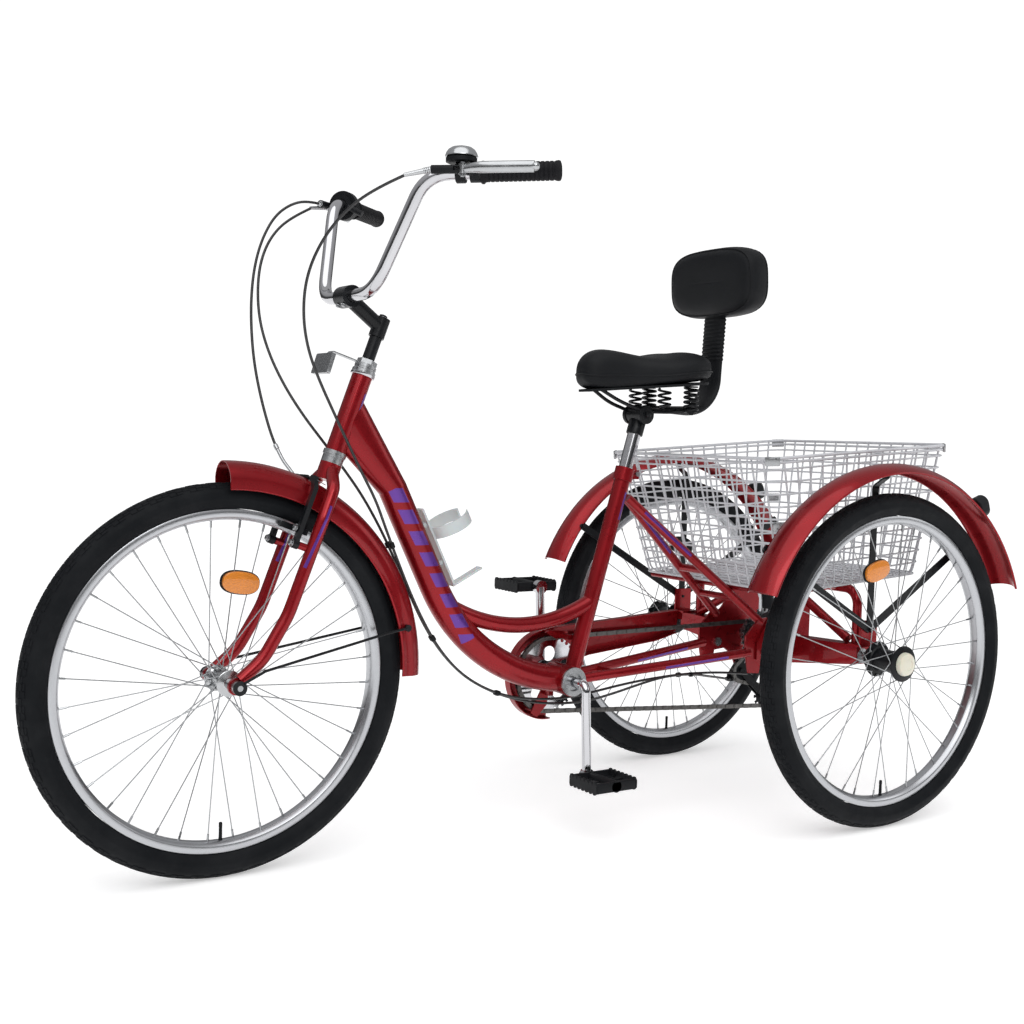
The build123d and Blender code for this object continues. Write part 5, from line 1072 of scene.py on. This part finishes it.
def softened(value, power):
    return math.copysign(abs(value) ** power, value)


# Stations of the saddle from tail to nose: x, half width, top and bottom.
SADDLE_STATIONS = [
    (266.5, 60, 900, 880), (269, 84, 914, 872), (275, 97, 923, 869), (290, 110, 928, 866.5),
    (312, 118, 928, 864), (334, 119, 924, 861), (358, 112, 919, 858), (380, 98, 914, 855),
    (402, 77, 915, 852), (428, 58, 920, 848.5), (456, 48, 925, 844.5), (484, 40, 924.5, 843),
    (504, 34, 918, 846), (516, 27, 908, 852), (523, 19, 897, 859), (527, 9, 888, 867),
]


def saddle_point(station, angle):
    x, half_width, top, bottom = SADDLE_STATIONS[station]
    c, s = math.cos(angle), math.sin(angle)
    middle = bottom + (top - bottom) * 0.42
    rise = (top - middle) if s > 0 else (middle - bottom)
    side = softened(c, 0.86 if s > 0 else 0.5)
    z = middle + rise * softened(s, 0.72 if s > 0 else 0.55)
    dip = 3.0 * math.exp(-(side * half_width / 22.0) ** 2) if s > 0.3 and 280 < x < 470 else 0.0
    return Vector((x, side * half_width, z - dip))


def saddle_seam(station, side):
    x, half_width, top, bottom = SADDLE_STATIONS[station]
    height = bottom + (top - bottom) * 0.34
    return Vector((x, side * half_width * 0.995, height))


def subdivided(made, levels=2):
    modifier = made.modifiers.new("rounding", "SUBSURF")
    modifier.levels = levels
    modifier.render_levels = levels


def make_saddle():
    bm = bmesh.new()
    loft(bm, len(SADDLE_STATIONS), 32, saddle_point)
    cover = piece("saddle_cover", bm, finish_of(seat_vinyl), "seat", ["saddle"], sharp=180)
    subdivided(cover)
    bm = bmesh.new()
    run = range(1, len(SADDLE_STATIONS))
    seam = [saddle_seam(index, 1) for index in run] + [saddle_seam(index, -1) for index in reversed(run)]
    tube(bm, seam, 1.7, sides=8, closed=True)
    piece("saddle_piping", bm, finish_of(moulded_black), "seat")
    bm = bmesh.new()
    base = [(269.5, 78), (278, 92), (300, 106), (330, 110), (356, 104), (380, 90), (404, 68), (430, 50), (470, 38),
            (500, 30), (514, 20)]
    outline = [(x, y) for x, y in base] + [(x, -y) for x, y in reversed(base)]
    verts_frame = Matrix.Translation((0, 0, 0))
    lower = [(x, y, 868 - (x - 269) * 0.098) for x, y in outline]
    bottom = [bm.verts.new(point) for point in lower]
    face = bm.faces.new(bottom)
    raised = bmesh.ops.extrude_face_region(bm, geom=[face])["geom"]
    bmesh.ops.translate(bm, vec=(0, 0, -5.0), verts=[item for item in raised if isinstance(item, bmesh.types.BMVert)])
    bmesh.ops.transform(bm, matrix=verts_frame, verts=bm.verts)
    piece("saddle_base", bm, finish_of(moulded_black), "seat")


PAD_CENTRE = Vector((186.0, 0.0, 1076.0))
PAD_FACING = Vector((0.998, 0.0, -0.06)).normalized()
PAD_RINGS = [
    (70, -24.5), (46, -26.5), (22, -28), (10, -28), (4, -25), (0.8, -19), (0, -8), (0, 2), (1.2, 12), (5, 20),
    (12, 25.5), (24, 28.4), (42, 29.2), (62, 29.0), (70, 29.0),
]


def pad_point(station, angle):
    inset, depth = PAD_RINGS[station]
    half_wide, half_high = 125.0 - inset, max(1.0, 71.0 - inset)
    c, s = math.cos(angle), math.sin(angle)
    scale = (abs(c) ** 3.4 + abs(s) ** 3.4) ** (-1 / 3.4)
    wide, high = half_wide * c * scale, half_high * s * scale
    up = PAD_FACING.cross(Y_AXIS)
    up = up if up.z > 0 else -up
    bulge = 2.5 * (1 - (wide / 125.0) ** 2) if depth > 20 else 0.0
    return PAD_CENTRE + Y_AXIS * wide + up * high + PAD_FACING * (depth + bulge - 2.0)


def make_backrest():
    bm = bmesh.new()
    loft(bm, len(PAD_RINGS), 48, pad_point)
    pad = piece("backrest_cushion", bm, finish_of(seat_vinyl), "seat", ["backrest_pad"], sharp=180)
    subdivided(pad)
    bm = bmesh.new()
    for station in (4, 9):
        ring = [pad_point(station, 2 * math.pi * step / 64) for step in range(64)]
        tube(bm, ring, 1.5, sides=7, closed=True)
    piece("backrest_piping", bm, finish_of(moulded_black), "seat")


POST_AXIS = (Vector((408.0, 0.0, 692.0)) - Vector((527.0, 0.0, 280.0))).normalized()
POST_HEAD = Vector((408.0, 0.0, 692.0)) + POST_AXIS * 100.0
CLAMP_MIDDLE = POST_HEAD + Vector((0, 0, 11.0))


def make_saddle_frame():
    bm = bmesh.new()
    for side in (-1, 1):
        rail = [(486, 12 * side, 846), (440, 20 * side, 822), (380, 24 * side, 805), (318, 34 * side, 806),
                (292, 62 * side, 812)]
        tube(bm, rounded(rail, 22, 6), 3.6, sides=10)
        tube(bm, coil((300, 66 * side, 809), Z_AXIS, 13.5, 9.4, 5.0, steps=16), 2.6, sides=8)
        tube(bm, coil((352, 46 * side, 816), Z_AXIS, 12.0, 11.5, 3.0, steps=16), 2.4, sides=8)
        lathe(bm, [(0, 0), (0, 13), (2.5, 13), (2.5, 0)], (300, 66 * side, 855.5), Z_AXIS, 24)
        lathe(bm, [(0, 0), (0, 14.5), (2.2, 14.5), (2.2, 0)], (300, 66 * side, 806), Z_AXIS, 24)
        bolt(bm, (300, 66 * side, 806), -Z_AXIS, 5.5, 5)
    tube(bm, [(300, -80, 809), (300, 80, 809)], 3.0, sides=10)
    tube(bm, [(352, -46, 815), (352, 46, 815)], 3.0, sides=10)
    tube(bm, [(486, -16, 846), (486, 16, 846)], 3.6, sides=10)
    piece("saddle_springs", bm, finish_of(satin_black), "seat", ["saddle_frame"])
    bm = bmesh.new()
    lathe(bm, [(-30, 0), (-30, 15.6), (-29, 16.8), (-2, 16.8), (0, 15.6), (0, 0)], POST_HEAD, POST_AXIS, 36)
    lathe(bm, [(-19, 0), (-19, 15.5), (-18, 16.5), (18, 16.5), (19, 15.5), (19, 0)], CLAMP_MIDDLE, Y_AXIS, 36)
    for side in (-1, 1):
        start = CLAMP_MIDDLE + Y_AXIS * 20 * side
        lathe(bm, [(0, 0), (0, 17.6), (1.2, 18.6), (7, 18.6), (8.2, 17.6), (9, 12), (9, 0)], start, Y_AXIS * side, 36)
        bolt(bm, start + Y_AXIS * 9 * side, Y_AXIS * side, 6.8, 6)
    piece("saddle_clamp", bm, finish_of(satin_black), "seat")
    bm = bmesh.new()
    route = rounded([(352, 0, 812), (232, 0, 811), (194, 0, 850), (184.4, 0, 1030)], 46, 12)
    sizes = [16.0 + 14.0 * min(1.0, max(0.0, (352 - point.x) / 110)) for point in route]
    tube(bm, route, 1.0, sides=24, flat=(1.0, 0.34), side=Y_AXIS, radii=sizes)
    foot, head = Vector((190.6, 0, 915)), Vector((184.9, 0, 1012))
    heading = (head - foot).normalized()
    ribs = 12
    for index in range(ribs):
        middle = foot.lerp(head, (index + 0.5) / ribs)
        ends = [middle - heading * 2.6, middle - heading * 1.4, middle + heading * 1.4, middle + heading * 2.6]
        tube(bm, ends, 1.0, sides=24, flat=(1.0, 0.38), side=Y_AXIS, radii=[30.0, 31.4, 31.4, 30.0])
    piece("backrest_sheath", bm, finish_of(moulded_black), "seat")


# ---------------------------------------------------------------- handlebar and controls

def make_handlebar():
    bm = bmesh.new()
    left = [(1025, 0, 980), (1025, 98, 982), (973, 172, 1170), (813, 315, 1175)]
    route = [mirrored_point(point, -1) for point in reversed(left)] + left[1:]
    tube(bm, rounded(route, 42, 10), BAR_RADIUS, sides=28)
    piece("handlebar_tube", bm, finish_of(bright_chrome), "steering", ["handlebar"])


def make_grips():
    for hand, side in HANDED.items():
        bm = bmesh.new()
        profile = [(91.5, 11.4), (91.5, 17.5), (93, 18.6), (96, 18.6), (98, 16.4)]
        ribs = 15
        for index in range(ribs):
            start = 100 + index * 7.4
            profile += [(start, 15.7), (start + 4.6, 15.7), (start + 5.3, 14.7), (start + 6.7, 14.7)]
        profile += [(213, 16.0), (217, 16.6), (220, 15.6), (221.4, 12), (221.6, 0)]
        axis = mirrored_point(GRIP_ALONG, side)
        lathe(bm, profile, on_grip(0, 0, 0, side), axis, 40)
        piece(hand + "_grip", bm, finish_of(grip_rubber), "steering", ["grips"] if side > 0 else ())


def make_brake_levers():
    for hand, side in HANDED.items():
        bm = bmesh.new()
        corners = [on_grip(66, 30, 0), on_grip(86, 42, 0), on_grip(112, 47, -1), on_grip(184, 48, -2)]
        route = rounded([mirrored_point(point, side) for point in corners], 18, 5)
        count = len(route)
        sizes = [6.5 + 3.0 * min(1.0, 2.2 * index / count) for index in range(count)]
        tube(bm, route, 1.0, sides=16, flat=(0.58, 1.0), side=mirrored_point(GRIP_AHEAD, side), radii=sizes)
        bmesh.ops.create_icosphere(bm, subdivisions=3, radius=7.2,
                                   matrix=Matrix.Translation(on_grip(186, 48, -2, side)))
        lathe(bm, [(-8, 0), (-8, 6.8), (8, 6.8), (8, 0)], on_grip(66, 30, 0, side), Z_AXIS, 24)
        made = piece(hand + "_brake_blade", bm, finish_of(cast_alloy), "brake_lever_" + hand,
                     ["brake_lever_" + hand])
        bm = bmesh.new()
        for up in (-1, 1):
            bolt(bm, on_grip(66, 30, 9.2 * up, side), Z_AXIS * up, 3.6, 2.6)
        piece(hand + "_lever_pivot_bolts", bm, finish_of(plated_steel), "steering")


def make_bell():
    bm = bmesh.new()
    foot = on_grip(58, 0, 0)
    dome = [(25.2, 0), (25.2, 26.2), (25.6, 27), (27.2, 27), (28.2, 26.3), (32, 25.2), (37, 21.8), (40.6, 16.5),
            (42.2, 10), (42.8, 4.5), (43.4, 4.2), (43.9, 2.5), (44.0, 0)]
    lathe(bm, dome, foot, Z_AXIS, 56)
    piece("bell_dome", bm, finish_of(cast_alloy), "steering")
    bm = bmesh.new()
    lathe(bm, [(15.5, 0), (15.5, 22), (17, 25.5), (23.5, 25.5), (24.9, 23), (24.9, 0)], foot, Z_AXIS, 48)
    across = GRIP_ALONG
    lathe(bm, [(-8, 11.2), (-8, 15.6), (-7, 16.5), (7, 16.5), (8, 15.6), (8, 11.2)], foot, across, 32, closed=True)
    piece("bell_base", bm, finish_of(moulded_black), "steering", ["bell"])


def make_stem_trim():
    """Bolts of the bar clamp and of the quill."""
    bm = bmesh.new()
    for side in (-11, 11):
        bolt(bm, (1037, side, 965.5), Vector((0.4, 0, -1)), 4.2, 4)
    bolt(bm, steered(0, 0, 251), STEER_UP, 5.4, 5)
    piece("stem_bolts", bm, finish_of(plated_steel), "steering")
    bm = bmesh.new()
    for low, radius in ((140.0, 21.0), (146.5, 19.4), (152.5, 17.0)):
        lathe(bm, [(low, 12.0), (low, radius), (low + 1.2, radius + 0.8), (low + 4.6, radius + 0.8),
                   (low + 5.6, radius), (low + 5.6, 12.0)], HEAD_FOOT, STEER_UP, 40, closed=True)
    piece("headset_nuts", bm, finish_of(bright_chrome), "steering")


# ---------------------------------------------------------------- rim brake

def make_rim_brake():
    for hand, side in HANDED.items():
        body = "brake_arm_" + hand
        bm = bmesh.new()
        pivot = steered(36 + 6, 50 * side, -176)
        bolt(bm, pivot, STEER_AHEAD, 5.2, 5)
        holder = steered(36 + 6, 46 * side, -150)
        bolt(bm, holder, STEER_AHEAD, 5.0, 5)
        piece(body + "_bolts", bm, finish_of(plated_steel), body)


# ---------------------------------------------------------------- pedals

def make_pedal(hand):
    """A moulded platform: two toothed walls, end plates, cross ribs and an axle barrel."""
    low, high = (Vector(corner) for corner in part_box("pedal_" + hand))
    low, high = TO_ROW.inverted() @ low, TO_ROW.inverted() @ high
    middle = (low + high) / 2
    half = (high - low) / 2
    bm = bmesh.new()
    teeth = 7
    for sign in (-1, 1):
        outline = [(-half.y, -half.z * 0.55)]
        for index in range(teeth):
            start = -half.y + 2 * half.y * index / teeth
            step = 2 * half.y / teeth
            outline += [(start + step * 0.2, -half.z), (start + step * 0.6, -half.z), (start + step, -half.z * 0.55)]
        outline += [(x, -y) for x, y in reversed(outline)]
        wall = placed(middle + X_AXIS * (sign * half.x - (5 if sign > 0 else 0)), X_AXIS, Y_AXIS)
        slab(bm, outline, wall, 5.0, bevel=0.6, segments=1)
        plate = [(-half.x + 2, -half.z * 0.8), (half.x - 2, -half.z * 0.8), (half.x - 2, half.z * 0.8),
                 (-half.x + 2, half.z * 0.8)]
        slab(bm, plate, placed(middle + Y_AXIS * (sign * half.y - (6 if sign > 0 else 0)), Y_AXIS, X_AXIS), 6.0,
             bevel=1.4)
    rib = [(-half.x + 4, -1.6), (half.x - 4, -1.6), (half.x - 4, 1.6), (-half.x + 4, 1.6)]
    for share in (-0.5, 0.0, 0.5):
        slab(bm, rib, placed(middle + Y_AXIS * (share * 2 * half.y * 0.5 - 2), Y_AXIS, X_AXIS), 4.0, bevel=0.8)
    lathe(bm, [(-half.y, 0), (-half.y, 11), (half.y, 9), (half.y, 0)], middle, Y_AXIS * HANDED[hand] * -1, 32)
    body = "pedal_" + hand
    piece(body + "_platform", bm, finish_of(moulded_black), body, [body])


# ---------------------------------------------------------------- chain

PITCH = 12.7
CHAIN_CIRCLES = [
    (545.0, 280.0, 72.86, 1), (0.0, 330.0, 28.54, 1), (28.0, 248.0, 22.54, -1), (-40.0, 189.0, 22.54, 1),
]
CHAIN_Y = -50.0


def chain_route():
    """Points a pitch apart along the loop round ring, cog and the two pulleys."""
    stretches = []
    for (x1, z1, r1, s1), (x2, z2, r2, s2) in zip(CHAIN_CIRCLES, CHAIN_CIRCLES[1:] + CHAIN_CIRCLES[:1]):
        dx, dz = x2 - x1, z2 - z1
        gap = math.hypot(dx, dz)
        heading = math.atan2(dz, dx)
        swing = math.asin((s1 * r1 - s2 * r2) / gap)
        normal = heading + swing - math.pi / 2
        off = Vector((math.cos(normal), math.sin(normal)))
        stretches.append((Vector((x1, z1)) + off * r1 * s1, Vector((x2, z2)) + off * r2 * s2))
    fine = []
    for index, (x, z, radius, sign) in enumerate(CHAIN_CIRCLES):
        arrive = stretches[index - 1][1]
        leave = stretches[index][0]
        start = math.atan2(arrive.y - z, arrive.x - x)
        stop = math.atan2(leave.y - z, leave.x - x)
        turn = (stop - start) * sign % (2 * math.pi)
        steps = max(4, int(turn / 0.08))
        for step in range(steps + 1):
            angle = start + sign * turn * step / steps
            fine.append(Vector((x + radius * math.cos(angle), CHAIN_Y, z + radius * math.sin(angle))))
    fine.append(fine[0])
    total = sum((b - a).length for a, b in zip(fine, fine[1:]))
    count = 2 * round(total / PITCH / 2)
    spacing = total / count
    made, travelled, wanted = [], 0.0, 0.0
    for a, b in zip(fine, fine[1:]):
        length = (b - a).length
        while wanted < travelled + length and len(made) < count:
            made.append(a.lerp(b, (wanted - travelled) / length))
            wanted += spacing
        travelled += length
    return made


def make_chain():
    points = chain_route()
    bm = bmesh.new()
    for index, here in enumerate(points):
        there = points[(index + 1) % len(points)]
        heading = (there - here).normalized()
        length = (there - here).length
        outer = index % 2
        outline = []
        for centre, base in ((length, -90), (0.0, 90)):
            outline += [(centre + 4.1 * math.cos(math.radians(base + turn)), 4.1 * math.sin(math.radians(base + turn)))
                        for turn in (0, 45, 90, 135, 180)]
        offset = 3.1 if outer else 1.9
        for side in (-1, 1):
            low = offset if side > 0 else -offset - 1.0
            slab(bm, outline, placed(here + Y_AXIS * low, Y_AXIS, heading), 1.0)
        lathe(bm, [(-4.4, 0), (-4.4, 1.8), (4.4, 1.8), (4.4, 0)], here, Y_AXIS, 8)
        lathe(bm, [(-1.8, 0), (-1.8, 3.8), (1.8, 3.8), (1.8, 0)], here, Y_AXIS, 8)
    piece("chain_links", bm, finish_of(oiled_steel), "frame", ["chain"])


# ---------------------------------------------------------------- finishes of the CAD pieces

def plain_finishes():
    return {
        (candy_paint, ()): ["brace_tube", "rear_carrier", "chain_guard"],
        (candy_paint, ("head_tube",)): ["head_tube"],
        (candy_paint, ("down_tube",)): ["down_tube"],
        (candy_paint, ("seat_tube",)): ["seat_tube"],
        (candy_paint, ("seat_stays",)): ["seat_stays"],
        (candy_paint, ("chain_stays",)): ["chain_stays"],
        (candy_paint, ("fork",)): ["fork"],
        (bright_chrome, ()): ["seat_post", "crank"],
        (plated_steel, ()): ["frame_hardware", "steering_hardware", "cassette", "rear_axle", "front_spokes",
                             "left_spokes", "right_spokes"],
        (satin_black, ()): ["stem", "rear_fender_stays", "front_fender_stays", "brake_arm_left",
                            "brake_arm_right", "rear_brake_cover", "rear_brake_arm"],
        (moulded_black, ()): ["lever_bodies", "shifter_lever", "bell_lever",
                              "derailleur_body", "derailleur_cage", "guide_pulley", "tension_pulley",
                              "rear_reflectors"],
        (milky_plastic, ()): ["bottle_cage"],
    }


# ---------------------------------------------------------------- add-on

class TricycleFinish(bpy.types.PropertyGroup):
    """Colours of the painted frame."""

    paint: FloatVectorProperty(name="Paint", description="Colour of the frame's candy paint", subtype="COLOR",
                               size=3, min=0.0, max=1.0, default=(0.235, 0.006, 0.010))
    trim: FloatVectorProperty(name="Trim", description="Colour of the plain stripes on the tubes", subtype="COLOR",
                              size=3, min=0.0, max=1.0, default=(0.13, 0.045, 0.30))


class TricycleShape(bpy.types.PropertyGroup):
    """Counts and fills of the pieces that are built here."""

    pitches: IntProperty(name="Tread pitches", description="Rows of tread round each tyre", min=60, max=360,
                         default=180)
    levels: IntProperty(name="Basket hoops", description="Level wires round the basket", min=4, max=20, default=11)
    wires: IntProperty(name="Basket wires", description="Upright wires on the basket's long wall", min=6, max=40,
                       default=15)
    fill: FloatProperty(name="Padding", description="How full the saddle and the backrest are", min=0.0, max=1.0,
                        default=0.85, subtype="FACTOR")


class TricycleStudio(bpy.types.PropertyGroup):
    """Light in the studio."""

    key: FloatProperty(name="Main light", description="Power of the large light beside the camera", min=0.0,
                       max=2000.0, default=13.0, unit="POWER")
    overhead: FloatProperty(name="Overhead", description="Strength of the even light from above", min=0.0, max=20.0,
                            default=1.5)
    sky: FloatProperty(name="Surround", description="Strength of the white surround", min=0.0, max=5.0, default=0.5)


class TricycleOperator:
    """Shared by every step: runs make()."""

    bl_options = {"REGISTER", "UNDO"}

    def execute(self, context):
        self.make(context.scene)
        return {"FINISHED"}


class TRICYCLE_OT_studio(TricycleOperator, bpy.types.Operator):
    """Sets up the camera, the floor and the lights"""

    bl_idname = "tricycle.studio"
    bl_label = "Studio"

    def make(self, scene):
        make_camera()
        make_stage(scene.trike_studio)


class TRICYCLE_OT_cables(TricycleOperator, bpy.types.Operator):
    """Lays the three control cables"""

    bl_idname = "tricycle.cables"
    bl_label = "Cables"

    def make(self, scene):
        for name in CABLES:
            make_cable(name)
        make_cable_ends()


class TRICYCLE_OT_wheels(TricycleOperator, bpy.types.Operator):
    """Builds tyres, rims, hubs, spoke nipples, valves and wheel reflectors"""

    bl_idname = "tricycle.wheels"
    bl_label = "Wheels"

    def make(self, scene):
        for place in WHEELS:
            make_tyre(place, scene.trike_shape.pitches)
            make_rim(place)
            make_nipples(place)
            make_wheel_reflector(place)
        make_front_hub()
        make_rear_hub("left")
        make_rear_hub("right")


class TRICYCLE_OT_fenders(TricycleOperator, bpy.types.Operator):
    """Rolls the three fenders"""

    bl_idname = "tricycle.fenders"
    bl_label = "Fenders"

    def make(self, scene):
        rear = (37.0, 388.0, 370.0)
        make_fender("left_fender_blade", 0.0, TRACK_SIDE, rear, (23.0, 159.0), "frame", ["rear_fenders"])
        make_fender("right_fender_blade", 0.0, -TRACK_SIDE, rear, (23.0, 159.0), "frame", [])
        make_tail_lenses()
        make_fender("front_fender_blade", WHEELBASE, 0.0, (36.0, 366.0, 320.0), (89.0, 182.0), "steering",
                    ["front_fender"])


class TRICYCLE_OT_basket(TricycleOperator, bpy.types.Operator):
    """Bends and crosses the basket's wires"""

    bl_idname = "tricycle.basket"
    bl_label = "Basket"

    def make(self, scene):
        make_basket(scene.trike_shape)


class TRICYCLE_OT_seat(TricycleOperator, bpy.types.Operator):
    """Pads the saddle and the backrest and builds what carries them"""

    bl_idname = "tricycle.seat"
    bl_label = "Seat"

    def make(self, scene):
        make_saddle()
        make_backrest()
        make_saddle_frame()


class TRICYCLE_OT_controls(TricycleOperator, bpy.types.Operator):
    """Builds the handlebar, grips, brake levers, bell and stem bolts"""

    bl_idname = "tricycle.controls"
    bl_label = "Controls"

    def make(self, scene):
        make_handlebar()
        make_grips()
        make_brake_levers()
        make_bell()
        make_stem_trim()
        make_rim_brake()


class TRICYCLE_OT_drive(TricycleOperator, bpy.types.Operator):
    """Links the chain"""

    bl_idname = "tricycle.drive"
    bl_label = "Drive"

    def make(self, scene):
        make_chain()
        for hand in HANDED:
            make_pedal(hand)


class TRICYCLE_OT_finishes(TricycleOperator, bpy.types.Operator):
    """Gives the remaining pieces their finishes"""

    bl_idname = "tricycle.finishes"
    bl_label = "Finishes"

    def make(self, scene):
        for (maker, values), nodes in plain_finishes().items():
            dress(nodes, finish_of(maker, *values))


STEPS = ["studio", "cables", "wheels", "fenders", "basket", "seat", "controls", "drive", "finishes"]


class TRICYCLE_PT_panel(bpy.types.Panel):
    """The steps in the order they are taken"""

    bl_label = "Tricycle"
    bl_space_type = "VIEW_3D"
    bl_region_type = "UI"
    bl_category = "Tricycle"

    def draw(self, context):
        for group in ("trike_finish", "trike_shape", "trike_studio"):
            settings = getattr(context.scene, group)
            box = self.layout.box()
            for name in settings.__annotations__:
                box.prop(settings, name)
        for step in STEPS:
            self.layout.operator("tricycle." + step)


CLASSES = [
    TricycleFinish, TricycleShape, TricycleStudio, TRICYCLE_OT_studio, TRICYCLE_OT_cables, TRICYCLE_OT_wheels,
    TRICYCLE_OT_fenders, TRICYCLE_OT_basket, TRICYCLE_OT_seat, TRICYCLE_OT_controls, TRICYCLE_OT_drive,
    TRICYCLE_OT_finishes, TRICYCLE_PT_panel,
]


def register():
    for kind in CLASSES:
        bpy.utils.register_class(kind)
    bpy.types.Scene.trike_finish = PointerProperty(type=TricycleFinish)
    bpy.types.Scene.trike_shape = PointerProperty(type=TricycleShape)
    bpy.types.Scene.trike_studio = PointerProperty(type=TricycleStudio)


def unregister():
    for group in ("trike_finish", "trike_shape", "trike_studio"):
        delattr(bpy.types.Scene, group)
    for kind in reversed(CLASSES):
        bpy.utils.unregister_class(kind)


def main():
    register()
    for step in STEPS:
        getattr(bpy.ops.tricycle, step)()


if __name__ == "__main__":
    main()
